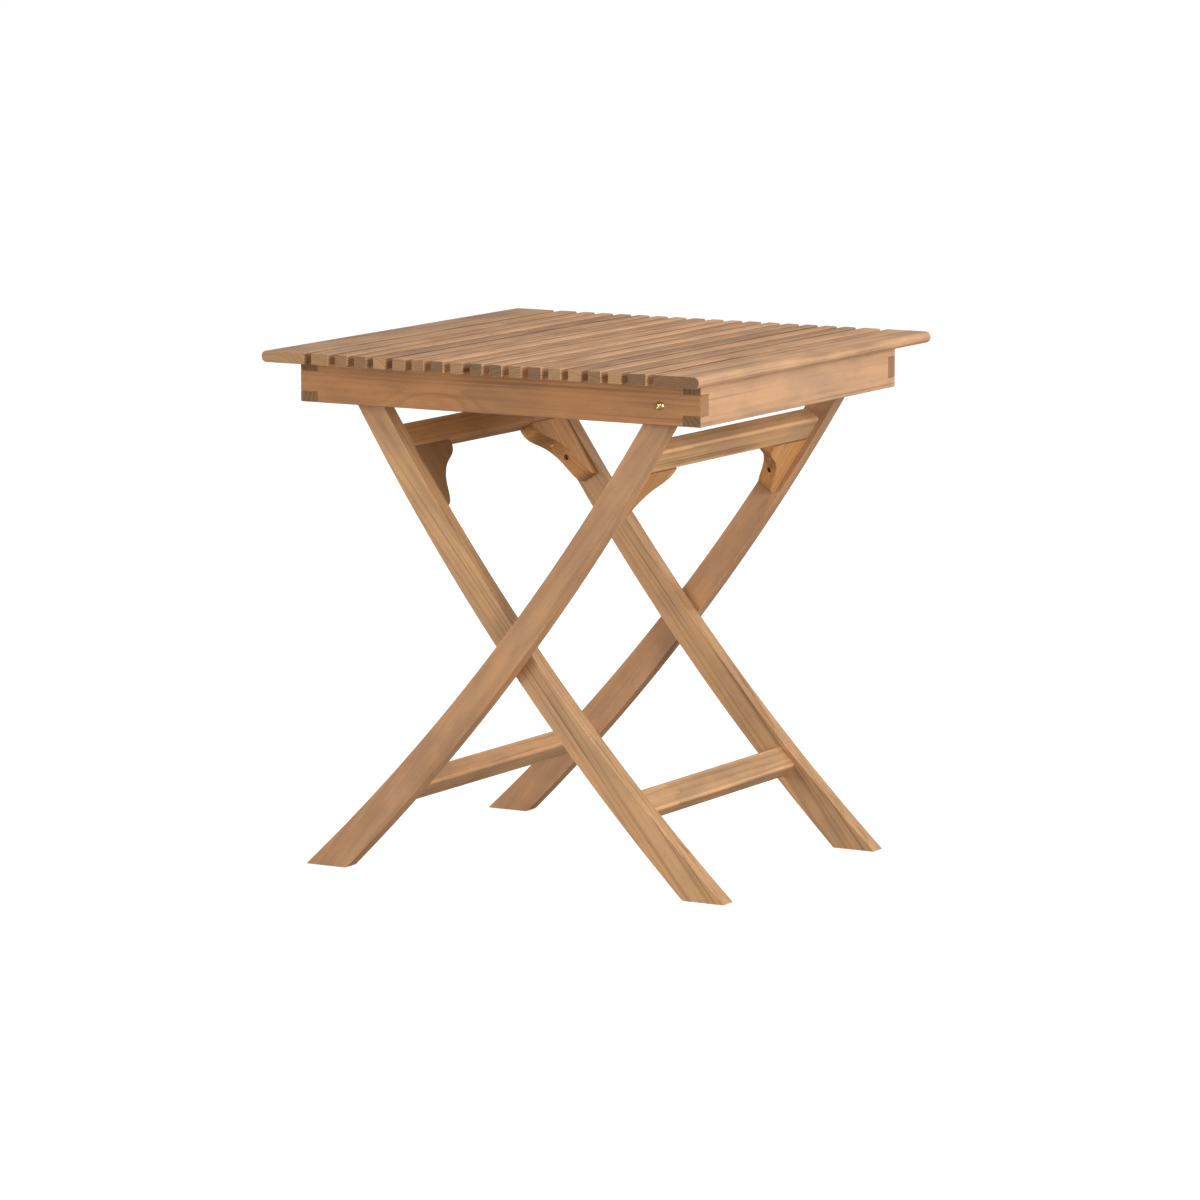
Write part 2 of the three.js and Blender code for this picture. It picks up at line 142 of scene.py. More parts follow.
SLAT_EASE = 0.0012
SLAT_END_EASE = 0.0006
HALF_ROUND_SHARE = 0.485
DARKEST_TONE = -0.35
PALEST_TONE = 1.35
RIPPLE = 0.0022
LATE_WOOD_STARTS = 0.30
LATE_WOOD_ENDS = 0.93
WELD = 0.00001
MOSTLY = 0.9
END_GRAIN_SLOPE = 2.2
LOG_REACH = 9.0


def new_group(name, kind_of_tree, inputs, outputs):
    """An empty node group with the named sockets, and its input and output nodes."""
    tree = bpy.data.node_groups.new(name, kind_of_tree)
    for socket_name, kind, *value in inputs:
        socket = tree.interface.new_socket(socket_name, in_out="INPUT", socket_type=kind)
        if value:
            socket.default_value = value[0]
    for socket_name, kind in outputs:
        tree.interface.new_socket(socket_name, in_out="OUTPUT", socket_type=kind)
    return tree, tree.nodes.new("NodeGroupInput"), tree.nodes.new("NodeGroupOutput")


def feed(tree, socket, value):
    """Links a socket to another node's output, or sets it to a plain value."""
    if isinstance(value, bpy.types.NodeSocket):
        tree.links.new(value, socket)
    else:
        socket.default_value = value


def maths(tree, operation, *values):
    """One sum, of sockets and plain numbers."""
    node = tree.nodes.new("ShaderNodeMath")
    node.operation = operation
    for socket, value in zip(node.inputs, values):
        feed(tree, socket, value)
    return node.outputs[0]


def stretch(tree, vector, along, across):
    """The place scaled by one amount along the grain and another across it, in waves a metre."""
    node = tree.nodes.new("ShaderNodeVectorMath")
    node.operation = "MULTIPLY"
    tree.links.new(vector, node.inputs[0])
    node.inputs[1].default_value = (along, across, across)
    return node.outputs[0]


def noise(tree, vector, detail, roughness=0.5):
    """Soft noise with one wave for each unit of the vector."""
    node = tree.nodes.new("ShaderNodeTexNoise")
    tree.links.new(vector, node.inputs["Vector"])
    node.inputs["Scale"].default_value = 1.0
    node.inputs["Detail"].default_value = detail
    node.inputs["Roughness"].default_value = roughness
    return node.outputs["Fac"]


def remap(tree, value, low, high, new_low=0.0, new_high=1.0, smooth=True):
    """The value taken from the range low to high to the new range, and held inside it."""
    node = tree.nodes.new("ShaderNodeMapRange")
    node.interpolation_type = "SMOOTHSTEP" if smooth else "LINEAR"
    feed(tree, node.inputs["Value"], value)
    for socket_name, number in (
        ("From Min", low), ("From Max", high), ("To Min", new_low), ("To Max", new_high)
    ):
        feed(tree, node.inputs[socket_name], number)
    return node.outputs["Result"]


def blend_colours(tree, share, first, second, how="MIX"):
    """The first colour with a share of the second in it."""
    node = tree.nodes.new("ShaderNodeMix")
    node.data_type = "RGBA"
    node.blend_type = how
    feed(tree, node.inputs["Factor"], share)
    feed(tree, node.inputs["A"], first)
    feed(tree, node.inputs["B"], second)
    return node.outputs["Result"]


def brightened(tree, colour, level):
    """The colour times a level that is the same for red, green and blue."""
    grey = tree.nodes.new("ShaderNodeCombineColor")
    for socket in grey.inputs[:3]:
        tree.links.new(level, socket)
    return blend_colours(tree, 1.0, colour, grey.outputs[0], "MULTIPLY")


def build_grain_group():
    """Growth rings, fibres, pores and clouding of one board. Place is in metres, X along the
    grain, measured from the heart of the log, so that faces, edges and ends agree."""
    tree, given, made = new_group(
        "board_grain",
        "ShaderNodeTree",
        [
            ("Place", "NodeSocketVector"),
            ("Ring Width", "NodeSocketFloat", 0.0045),
            ("Wander", "NodeSocketFloat", 0.012),
            ("Knot Place", "NodeSocketVector", (50.0, 0.0, 0.0)),
            ("Knot Lift", "NodeSocketFloat", 0.0),
        ],
        [
            ("Rings", "NodeSocketFloat"),
            ("Fibres", "NodeSocketFloat"),
            ("Pores", "NodeSocketFloat"),
            ("Clouds", "NodeSocketFloat"),
            ("Streaks", "NodeSocketFloat"),
        ],
    )
    place = given.outputs["Place"]
    apart = tree.nodes.new("ShaderNodeSeparateXYZ")
    tree.links.new(place, apart.inputs[0])
    square_y = maths(tree, "POWER", apart.outputs["Y"], 2.0)
    square_z = maths(tree, "POWER", apart.outputs["Z"], 2.0)
    radius = maths(tree, "SQRT", maths(tree, "ADD", square_y, square_z))

    slow = noise(tree, stretch(tree, place, 1.6, 9.0), 1.0)
    quick = noise(tree, stretch(tree, place, 7.0, 40.0), 2.0)
    drift = maths(tree, "MULTIPLY", maths(tree, "SUBTRACT", slow, 0.5), given.outputs["Wander"])
    ripple = maths(tree, "MULTIPLY", maths(tree, "SUBTRACT", quick, 0.5), RIPPLE)

    from_knot = tree.nodes.new("ShaderNodeVectorMath")
    from_knot.operation = "SUBTRACT"
    tree.links.new(place, from_knot.inputs[0])
    tree.links.new(given.outputs["Knot Place"], from_knot.inputs[1])
    reach = tree.nodes.new("ShaderNodeVectorMath")
    reach.operation = "LENGTH"
    tree.links.new(stretch(tree, from_knot.outputs[0], 9.0, 40.0), reach.inputs[0])
    swell = remap(tree, reach.outputs["Value"], 0.0, 1.0, 1.0, 0.0)
    knot = maths(tree, "MULTIPLY", swell, given.outputs["Knot Lift"])

    total = maths(tree, "ADD", maths(tree, "ADD", radius, drift), maths(tree, "ADD", ripple, knot))
    ring_count = maths(tree, "DIVIDE", total, given.outputs["Ring Width"])
    in_ring = maths(tree, "FRACT", ring_count)
    rise = remap(tree, in_ring, LATE_WOOD_STARTS, LATE_WOOD_ENDS)
    fall = remap(tree, in_ring, LATE_WOOD_ENDS, 1.0, 1.0, 0.0)
    ring_number = maths(tree, "FLOOR", ring_count)
    chance = tree.nodes.new("ShaderNodeTexWhiteNoise")
    chance.noise_dimensions = "1D"
    tree.links.new(ring_number, chance.inputs["W"])
    ring_weight = remap(tree, chance.outputs["Value"], 0.0, 1.0, 0.25, 1.0)
    line = maths(tree, "MULTIPLY", rise, fall)
    tree.links.new(maths(tree, "MULTIPLY", line, ring_weight), made.inputs["Rings"])

    fine = noise(tree, stretch(tree, place, 9.0, 700.0), 3.0, 0.6)
    broad = noise(tree, stretch(tree, place, 2.5, 110.0), 2.0)
    half_fine = maths(tree, "MULTIPLY", fine, 0.5)
    fibres = maths(tree, "ADD", half_fine, maths(tree, "MULTIPLY", broad, 0.5))
    tree.links.new(fibres, made.inputs["Fibres"])
    speck = noise(tree, stretch(tree, place, 110.0, 1900.0), 1.0)
    open_ring = remap(tree, in_ring, 0.0, 0.55, 1.0, 0.35)
    pores = maths(tree, "MULTIPLY", remap(tree, speck, 0.60, 0.70), open_ring)
    tree.links.new(pores, made.inputs["Pores"])
    clouds = noise(tree, stretch(tree, place, 9.0, 24.0), 2.5, 0.6)
    tree.links.new(remap(tree, clouds, 0.25, 0.75), made.inputs["Clouds"])
    vein = noise(tree, stretch(tree, place, 1.3, 190.0), 2.0, 0.55)
    where = noise(tree, stretch(tree, place, 2.2, 30.0), 1.0)
    veins = maths(tree, "MULTIPLY", remap(tree, vein, 0.58, 0.70), remap(tree, where, 0.42, 0.60))
    tree.links.new(veins, made.inputs["Streaks"])
    return tree


board_grain = build_grain_group()


def teak(name, pale, dark, ring_width, ring_share, end_colour, end_share, wander=0.012,
         streak_share=0.5, knot_place=None, knot_lift=0.0):
    """Sanded bare teak. The mesh says where each point lies in its board (grain), how far its
    face looks along the grain (end), which board it is (tone) and where it was eased (edge)."""
    material = bpy.data.materials.new(name)
    material.use_nodes = True
    tree = material.node_tree
    surface = tree.nodes["Principled BSDF"]

    def attribute(attribute_name, output="Fac"):
        node = tree.nodes.new("ShaderNodeAttribute")
        node.attribute_name = attribute_name
        return node.outputs[output]

    place = attribute("grain", "Vector")
    end = attribute("end")
    tone = attribute("tone")
    edge = attribute("edge")
    grain = tree.nodes.new("ShaderNodeGroup")
    grain.node_tree = board_grain
    tree.links.new(place, grain.inputs["Place"])
    grain.inputs["Ring Width"].default_value = ring_width
    grain.inputs["Wander"].default_value = wander
    if knot_place is not None:
        grain.inputs["Knot Place"].default_value = knot_place
        grain.inputs["Knot Lift"].default_value = knot_lift
    rings, fibres, pores, clouds, streaks = (
        grain.outputs[n] for n in ("Rings", "Fibres", "Pores", "Clouds", "Streaks")
    )

    ring_level = maths(tree, "MULTIPLY", rings, ring_share)
    colour = blend_colours(tree, ring_level, (*pale, 1.0), (*dark, 1.0))
    warm = tuple(c * k for c, k in zip(pale, (1.10, 1.02, 0.86)))
    colour = blend_colours(tree, maths(tree, "MULTIPLY", clouds, 0.5), colour, (*warm, 1.0))
    deep = tuple(c * 0.62 for c in dark)
    streak_level = maths(tree, "MULTIPLY", streaks, streak_share)
    colour = blend_colours(tree, streak_level, colour, (*deep, 1.0))
    fibre_light = remap(tree, fibres, 0.30, 0.70, 0.86, 1.11, smooth=False)
    board_light = maths(tree, "ADD", 0.84, maths(tree, "MULTIPLY", tone, 0.30))
    cloud_light = remap(tree, clouds, 0.0, 1.0, 0.91, 1.09)
    light = maths(tree, "MULTIPLY", fibre_light, maths(tree, "MULTIPLY", board_light, cloud_light))
    # Eased edge faces are painted paler: a painted highlight along the arrises, together with some rubbed
    # wear.
    edge_highlight_and_wear = maths(tree, "ADD", 1.0, maths(tree, "MULTIPLY", edge, 0.24))
    light = maths(tree, "MULTIPLY", light, edge_highlight_and_wear)
    pore_light = maths(tree, "SUBTRACT", 1.0, maths(tree, "MULTIPLY", pores, 0.22))
    light = maths(tree, "MULTIPLY", light, pore_light)
    colour = brightened(tree, colour, light)

    end_dark = tuple(c * 0.62 for c in end_colour)
    end_wood = blend_colours(tree, rings, (*end_colour, 1.0), (*end_dark, 1.0))
    end_level = remap(tree, tone, 0.0, 1.0, 1.35, 0.52, smooth=False)
    end_pores = remap(tree, pores, 0.0, 1.0, 1.0, 0.72, smooth=False)
    end_level = maths(tree, "MULTIPLY", end_level, end_pores)
    end_wood = brightened(tree, end_wood, end_level)
    colour = blend_colours(tree, maths(tree, "MULTIPLY", end, end_share), colour, end_wood)
    tree.links.new(colour, surface.inputs["Base Color"])

    rough = maths(tree, "ADD", 0.54, maths(tree, "MULTIPLY", fibres, 0.14))
    rough = maths(tree, "ADD", rough, maths(tree, "MULTIPLY", end, 0.18))
    rough = maths(tree, "SUBTRACT", rough, maths(tree, "MULTIPLY", edge, 0.06))
    tree.links.new(rough, surface.inputs["Roughness"])
    surface.inputs["IOR"].default_value = 1.36
    raised_fibres = maths(tree, "MULTIPLY", fibres, 0.5)
    height = maths(tree, "SUBTRACT", raised_fibres, maths(tree, "MULTIPLY", pores, 0.7))
    height = maths(tree, "ADD", height, maths(tree, "MULTIPLY", rings, 0.35))
    bump = tree.nodes.new("ShaderNodeBump")
    bump.inputs["Strength"].default_value = 0.35
    bump.inputs["Distance"].default_value = 0.0004
    tree.links.new(height, bump.inputs["Height"])
    tree.links.new(bump.outputs["Normal"], surface.inputs["Normal"])
    return material


slat_teak = teak("slat_wood", (0.53, 0.315, 0.18), (0.29, 0.135, 0.06), ring_width=0.0036,
                 ring_share=0.8, end_colour=(0.40, 0.225, 0.112), end_share=0.88, streak_share=0.75)


def build_slat_tree():
    """A row of like slats along X. Each is a planed section swept along Y, with its own place in
    the log and its own tone, and is turned by Turn more than the one before it."""
    tree, given, made = new_group(
        "slat_row",
        "GeometryNodeTree",
        [
            ("Count", "NodeSocketInt"),
            ("Pitch", "NodeSocketFloat"),
            ("Width", "NodeSocketFloat"),
            ("Thickness", "NodeSocketFloat"),
            ("Length", "NodeSocketFloat"),
            ("Height", "NodeSocketFloat"),
            ("Left Round", "NodeSocketFloat"),
            ("Right Round", "NodeSocketFloat"),
            ("Turn", "NodeSocketFloat"),
            ("Seed", "NodeSocketInt"),
            ("Material", "NodeSocketMaterial"),
        ],
        [("Slats", "NodeSocketGeometry")],
    )

    def node(kind, **settings):
        new = tree.nodes.new(kind)
        for key, value in settings.items():
            setattr(new, key, value)
        return new

    def store(geometry, name, data_type, domain, value):
        new = node("GeometryNodeStoreNamedAttribute", data_type=data_type, domain=domain)
        new.inputs["Name"].default_value = name
        tree.links.new(geometry, new.inputs["Geometry"])
        tree.links.new(value, new.inputs["Value"])
        return new.outputs["Geometry"]

    def read(name, data_type):
        new = node("GeometryNodeInputNamedAttribute", data_type=data_type)
        new.inputs["Name"].default_value = name
        return new.outputs["Attribute"]

    # The section, with its own round on the left and on the right
    section = node("GeometryNodeCurvePrimitiveQuadrilateral")
    tree.links.new(given.outputs["Width"], section.inputs["Width"])
    tree.links.new(given.outputs["Thickness"], section.inputs["Height"])
    corner = node("ShaderNodeSeparateXYZ")
    tree.links.new(node("GeometryNodeInputPosition").outputs[0], corner.inputs[0])
    on_right = node("FunctionNodeCompare", data_type="FLOAT", operation="GREATER_THAN")
    tree.links.new(corner.outputs["X"], on_right.inputs["A"])
    round_over = node("GeometryNodeSwitch", input_type="FLOAT")
    tree.links.new(on_right.outputs["Result"], round_over.inputs["Switch"])
    tree.links.new(given.outputs["Left Round"], round_over.inputs["False"])
    tree.links.new(given.outputs["Right Round"], round_over.inputs["True"])
    eased = node("GeometryNodeFilletCurve", mode="POLY")
    tree.links.new(section.outputs["Curve"], eased.inputs["Curve"])
    tree.links.new(round_over.outputs["Output"], eased.inputs["Radius"])
    eased.inputs["Count"].default_value = 5

    # One slat, swept along Y
    half_length = maths(tree, "MULTIPLY", given.outputs["Length"], 0.5)
    line = node("GeometryNodeCurvePrimitiveLine")
    for socket_name, sign in (("Start", -1.0), ("End", 1.0)):
        tip = node("ShaderNodeCombineXYZ")
        tree.links.new(maths(tree, "MULTIPLY", half_length, sign), tip.inputs["Y"])
        tree.links.new(tip.outputs[0], line.inputs[socket_name])
    swept = node("GeometryNodeCurveToMesh")
    tree.links.new(line.outputs["Curve"], swept.inputs["Curve"])
    tree.links.new(eased.outputs["Curve"], swept.inputs["Profile Curve"])
    swept.inputs["Fill Caps"].default_value = True
    merged = node("GeometryNodeMergeByDistance")
    merged.inputs["Distance"].default_value = 2 * WELD
    tree.links.new(swept.outputs["Mesh"], merged.inputs["Geometry"])

    here = node("ShaderNodeSeparateXYZ")
    tree.links.new(node("GeometryNodeInputPosition").outputs[0], here.inputs[0])
    along = node("ShaderNodeCombineXYZ")
    tree.links.new(here.outputs["Y"], along.inputs["X"])
    tree.links.new(here.outputs["X"], along.inputs["Y"])
    tree.links.new(here.outputs["Z"], along.inputs["Z"])
    slat = store(merged.outputs["Geometry"], "grain", "FLOAT_VECTOR", "POINT", along.outputs[0])
    facing = node("ShaderNodeSeparateXYZ")
    tree.links.new(node("GeometryNodeInputNormal").outputs["Normal"], facing.inputs[0])
    slat = store(slat, "end", "FLOAT", "FACE", maths(tree, "ABSOLUTE", facing.outputs["Y"]))

    # The row, each slat turned and cut from its own place
    gaps = maths(tree, "SUBTRACT", given.outputs["Count"], 1.0)
    span = maths(tree, "MULTIPLY", given.outputs["Pitch"], gaps)
    first = node("ShaderNodeCombineXYZ")
    tree.links.new(maths(tree, "MULTIPLY", span, -0.5), first.inputs["X"])
    tree.links.new(given.outputs["Height"], first.inputs["Z"])
    step = node("ShaderNodeCombineXYZ")
    tree.links.new(given.outputs["Pitch"], step.inputs["X"])
    row = node("GeometryNodeMeshLine", mode="OFFSET")
    tree.links.new(given.outputs["Count"], row.inputs["Count"])
    tree.links.new(first.outputs[0], row.inputs["Start Location"])
    tree.links.new(step.outputs[0], row.inputs["Offset"])
    turn = maths(tree, "MULTIPLY", node("GeometryNodeInputIndex").outputs[0], given.outputs["Turn"])
    turned = node("FunctionNodeAxisAngleToRotation")
    turned.inputs["Axis"].default_value = (0.0, 0.0, 1.0)
    tree.links.new(turn, turned.inputs["Angle"])
    laid = node("GeometryNodeInstanceOnPoints")
    tree.links.new(row.outputs["Mesh"], laid.inputs["Points"])
    tree.links.new(slat, laid.inputs["Instance"])
    tree.links.new(turned.outputs["Rotation"], laid.inputs["Rotation"])

    heart = node("FunctionNodeRandomValue", data_type="FLOAT_VECTOR")
    heart.inputs["Min"].default_value = (-LOG_REACH, -0.03, 0.02)
    heart.inputs["Max"].default_value = (LOG_REACH, 0.03, 0.07)
    tree.links.new(given.outputs["Seed"], heart.inputs["Seed"])
    board = store(laid.outputs["Instances"], "heart", "FLOAT_VECTOR", "INSTANCE", heart.outputs["Value"])
    tone = node("FunctionNodeRandomValue", data_type="FLOAT")
    tone.inputs[2].default_value = DARKEST_TONE
    tone.inputs[3].default_value = PALEST_TONE
    tree.links.new(maths(tree, "ADD", given.outputs["Seed"], 17.0), tone.inputs["Seed"])
    board = store(board, "tone", "FLOAT", "INSTANCE", tone.outputs[1])
    real = node("GeometryNodeRealizeInstances")
    tree.links.new(board, real.inputs["Geometry"])
    placed = node("ShaderNodeVectorMath", operation="ADD")
    tree.links.new(read("grain", "FLOAT_VECTOR"), placed.inputs[0])
    tree.links.new(read("heart", "FLOAT_VECTOR"), placed.inputs[1])
    whole = store(real.outputs["Geometry"], "grain", "FLOAT_VECTOR", "POINT", placed.outputs[0])
    coated = node("GeometryNodeSetMaterial")
    tree.links.new(whole, coated.inputs["Geometry"])
    tree.links.new(given.outputs["Material"], coated.inputs["Material"])
    tree.links.new(coated.outputs["Geometry"], made.inputs["Slats"])
    return tree


def weld(bm):
    """Closes up slivers that easing or cutting leaves behind."""
    bmesh.ops.remove_doubles(bm, verts=bm.verts, dist=WELD)
    bmesh.ops.dissolve_degenerate(bm, edges=bm.edges, dist=WELD)


def weld_mesh(mesh):
    """The same, on a finished mesh."""
    bm = bmesh.new()
    bm.from_mesh(mesh)
    weld(bm)
    bm.to_mesh(mesh)
    bm.free()


def read_points(mesh, name, key, width):
    """Every value of an attribute on the points, in one flat list."""
    values = [0.0] * (len(mesh.vertices) * width)
    mesh.attributes[name].data.foreach_get(key, values)
    return values


def end_grain_share(along):
    """How much end grain a face shows, when its normal has this much along the grain."""
    return max(0.0, 1.0 - (1.0 - abs(along)) * END_GRAIN_SLOPE)


def ease_ends(mesh, amount):
    """Takes the sharp arris off the two ends of every slat. The new corners take their place in
    the log and their tone from the old corner that they were cut from."""
    old_corners = kdtree.KDTree(len(mesh.vertices))
    for vertex in mesh.vertices:
        old_corners.insert(vertex.co, vertex.index)
    old_corners.balance()
    grains = read_points(mesh, "grain", "vector", 3)
    tones = read_points(mesh, "tone", "value", 1)
    bm = bmesh.new()
    bm.from_mesh(mesh)
    ends = {f for f in bm.faces if abs(f.normal.y) > MOSTLY}
    arrises = [e for e in bm.edges if len(set(e.link_faces) & ends) == 1]
    bmesh.ops.bevel(bm, geom=arrises, offset=amount, segments=2, profile=0.5, affect="EDGES",
                    clamp_overlap=True)
    weld(bm)
    bm.to_mesh(mesh)
    bm.free()
    nearest = [old_corners.find(vertex.co)[1] for vertex in mesh.vertices]
    new_grains = [c for i in nearest for c in grains[3 * i:3 * i + 3]]
    mesh.attributes["grain"].data.foreach_set("vector", new_grains)
    mesh.attributes["tone"].data.foreach_set("value", [tones[i] for i in nearest])
    end_values = [end_grain_share(p.normal.y) for p in mesh.polygons]
    mesh.attributes["end"].data.foreach_set("value", end_values)


def mark_edges(mesh, widest):
    """Marks the narrow faces left by easing, which the wood material paints paler: partly a painted
    highlight along the arrises, partly rubbed wear.
    """
    edge = mesh.attributes.new("edge", "FLOAT", "FACE")
    values = []
    for polygon in mesh.polygons:
        corners = [mesh.vertices[i].co for i in polygon.vertices]
        sides = [(a - b).length for a, b in zip(corners, corners[1:] + corners[:1])]
        values.append(1.0 if len(corners) == 4 and min(sides) < widest else 0.0)
    edge.data.foreach_set("value", values)


def apply_modifiers(thing):
    """Gives the thing the plain mesh that its modifiers make, and takes them off."""
    depsgraph = bpy.context.evaluated_depsgraph_get()
    plain = bpy.data.meshes.new_from_object(
        thing.evaluated_get(depsgraph), preserve_all_data_layers=True, depsgraph=depsgraph
    )
    thing.modifiers.clear()
    thing.data = plain
    return plain


def run_tree(thing, tree, values):
    """Runs a node tree on the thing, with these values on its inputs, and keeps the plain mesh."""
    sockets = {item.name: item.identifier for item in tree.interface.items_tree if item.in_out == "INPUT"}
    maker = thing.modifiers.new(tree.name, "NODES")
    maker.node_group = tree
    for socket_name, value in values:
        maker[sockets[socket_name]] = value
    return apply_modifiers(thing)


def settle(thing, material):
    """Gives the finished mesh its one material, and shades it smooth over its eased edges and
    flat on its planed faces."""
    mesh = thing.data
    mesh.materials.clear()
    mesh.materials.append(material)
    mesh.polygons.foreach_set("material_index", [0] * len(mesh.polygons))
    mesh.polygons.foreach_set("use_smooth", [True] * len(mesh.polygons))
    mesh.set_sharp_from_angle(angle=math.radians(40))
    thing.modifiers.new("planed_faces", "WEIGHTED_NORMAL").keep_sharp = True
    apply_modifiers(thing)


def middle_x(node):
    """The middle of a CAD node's box, from left to right."""
    low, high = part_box(node)
    return (low.x + high.x) / 2


slat_tree = build_slat_tree()


def lay_slats(name, numbers, left_round, right_round, turn, seed):
    """A row of like slats in the places of the CAD slats with these numbers."""
    nodes = [f"slat_{n:02d}" for n in numbers]
    low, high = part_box(nodes[0])
    pitch = (middle_x(nodes[-1]) - middle_x(nodes[0])) / (len(nodes) - 1)
    row = linked(name, bpy.data.meshes.new(name))
    plain = run_tree(row, slat_tree, (
        ("Count", len(nodes)),
        ("Pitch", pitch),
        ("Width", high.x - low.x),
        ("Thickness", high.z - low.z),
        ("Length", high.y - low.y),
        ("Height", (low.z + high.z) / 2),
        ("Left Round", left_round),
        ("Right Round", right_round),
        ("Turn", turn),
        ("Seed", seed),
        ("Material", slat_teak),
    ))
    ease_ends(plain, SLAT_END_EASE)
    mark_edges(plain, SLAT_EASE)
    settle(row, slat_teak)
    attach(row, "table_top")
    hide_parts(*nodes)


slat_low, slat_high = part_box("slat_01")
half_round = (slat_high.z - slat_low.z) * HALF_ROUND_SHARE
lay_slats("narrow_slats", range(3, 18), SLAT_EASE, SLAT_EASE, 0.0, 11)
lay_slats("second_slats", (2, 18), SLAT_EASE, SLAT_EASE, 0.0, 5)
lay_slats("edge_slats", (1, 19), half_round, SLAT_EASE, math.pi, 6)

# ---- Apron box -------------------------------------------------------------------------------
# Two long teak boards and two thicker side boards make the box under the slats. They are glued
# with finger joints: the sides' upper and lower fingers show their end grain on the long boards,
# and the long boards' middle finger shows on the sides.

JOINT_LINE = 0.0005
JOINT_EASE = 0.0003
APRON_ROUND = 0.0018
# Eased faces narrower than this are painted paler: a painted highlight and rubbed wear.
APRON_HIGHLIGHT_AND_WEAR_WIDTH = 0.0009
FINGER_HEIGHT = 0.015
FRONT_HEART = (0.034, 0.012)
FRONT_EYE = Vector((-0.10, -0.011, -0.018))


def same(a, b):
    """Whether two lengths are the same, as nearly as drawing gets."""
    return abs(a - b) < WELD


def drawn_solid(outline, thickness):
    """A closed outline of X and Z, with X along the grain, drawn out along Y about the middle."""
    bm = bmesh.new()
    front = [bm.verts.new((x, -thickness / 2, z)) for x, z in outline]
    back = [bm.verts.new((x, thickness / 2, z)) for x, z in outline]
    bm.faces.new(front)
    bm.faces.new(back[::-1])
    for i in range(len(outline)):
        j = (i + 1) % len(outline)
        bm.faces.new((front[i], back[i], back[j], front[j]))
    bmesh.ops.recalc_face_normals(bm, faces=bm.faces)
    return bm


def ease(bm, radius, segments, wanted):
    """Rounds the edges for which wanted(middle, direction) is true."""
    chosen = []
    for e in bm.edges:
        a, b = (v.co for v in e.verts)
        if wanted((a + b) / 2, (b - a).normalized()):
            chosen.append(e)
    bmesh.ops.bevel(bm, geom=chosen, offset=radius, segments=segments, profile=0.5,
                    affect="EDGES", clamp_overlap=True)


def ease_sharp(bm, radius):
    """Takes the arris off every edge that is still sharp."""
    least = math.radians(50)
    sharp = [e for e in bm.edges if len(e.link_faces) == 2 and e.calc_face_angle() > least]
    bmesh.ops.bevel(bm, geom=sharp, offset=radius, segments=1, affect="EDGES", clamp_overlap=True)


def made_from(bm, name):
    """An object with the shape that was drawn."""
    mesh = bpy.data.meshes.new(name)
    bm.to_mesh(mesh)
    bm.free()
    return linked(name, mesh)


def bore(thing, holes, place):
    """Cuts round holes, each a start, a direction and a radius and depth, out of a piece that is
    still in its own coordinates. place turns those into the table's."""
    cutters = []
    for start, direction, radius, depth in holes:
        bm = bmesh.new()
        bmesh.ops.create_cone(
            bm, cap_ends=True, segments=32, radius1=radius, radius2=radius, depth=depth
        )
        drill = made_from(bm, "drill")
        turn = Vector(direction).to_track_quat("Z", "Y").to_matrix().to_4x4()
        middle = Vector(start) + Vector(direction).normalized() * depth / 2
        drill.data.transform(place.inverted() @ Matrix.Translation(middle) @ turn)
        cut = thing.modifiers.new("bore", "BOOLEAN")
        cut.operation = "DIFFERENCE"
        cut.solver = "EXACT"
        cut.object = drill
        cutters.append(drill)
    apply_modifiers(thing)
    for drill in cutters:
        bpy.data.objects.remove(drill)


def log_place(name, heart):
    """Where a board named so was cut from: its own length of the log, and its heart."""
    return Vector((random.Random(name).uniform(-LOG_REACH, LOG_REACH), *heart))


def board(name, bm, place, heart, tone, material, body, node, slot, highlight_and_wear_width, holes=()):
    """Finishes one piece of wood that was drawn in its own coordinates, with X along the grain.
    heart is where the heart of the log lies from it, across the thickness and the width, and
    the width given for the eased edges is that of the faces painted paler there: a painted highlight and
    rubbed wear."""
    weld(bm)
    piece = made_from(bm, name)
    if holes:
        bore(piece, holes, place)
        weld_mesh(piece.data)
    mesh = piece.data
    cut_from = log_place(name, heart)
    grain = mesh.attributes.new("grain", "FLOAT_VECTOR", "POINT")
    grain.data.foreach_set("vector", [c for v in mesh.vertices for c in v.co + cut_from])
    end = mesh.attributes.new("end", "FLOAT", "FACE")
    end.data.foreach_set("value", [end_grain_share(p.normal.x) for p in mesh.polygons])
    tones = mesh.attributes.new("tone", "FLOAT", "FACE")
    tones.data.foreach_set("value", [tone] * len(mesh.polygons))
    mark_edges(mesh, highlight_and_wear_width)
    mesh.transform(place)
    settle(piece, material)
    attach(piece, body)
    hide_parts(node)


front_teak = teak("front_apron_wood", (0.475, 0.232, 0.097), (0.30, 0.116, 0.042), ring_width=0.0046,
                  ring_share=0.52, wander=0.014, end_colour=(0.46, 0.26, 0.14), end_share=0.7,
                  knot_place=log_place("front_apron_board", FRONT_HEART) + FRONT_EYE,
                  knot_lift=0.013)
side_teak = teak("side_apron_wood", (0.57, 0.34, 0.20), (0.38, 0.19, 0.095), ring_width=0.007,
                 ring_share=0.45, wander=0.012, end_colour=(0.25, 0.135, 0.065), end_share=0.92)

front_low, front_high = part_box("front_apron")
right_low, right_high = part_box("right_apron")
apron_height = front_high.z - front_low.z
long_thickness = front_high.y - front_low.y
side_thickness = right_high.x - right_low.x
apron_half_length = front_high.x
apron_half_depth = right_high.y
apron_middle = (front_low.z + front_high.z) / 2
finger_half = apron_height / 2 - FINGER_HEIGHT


def long_apron_outline():
    """A long board, whose middle finger reaches out at each end."""
    end, half = apron_half_length, apron_height / 2
    shoulder = end - side_thickness - JOINT_LINE
    finger = finger_half - JOINT_LINE
    right = [(shoulder, -half), (shoulder, -finger), (end, -finger), (end, finger),
             (shoulder, finger), (shoulder, half)]
    return right + [(-x, z) for x, z in reversed(right)]


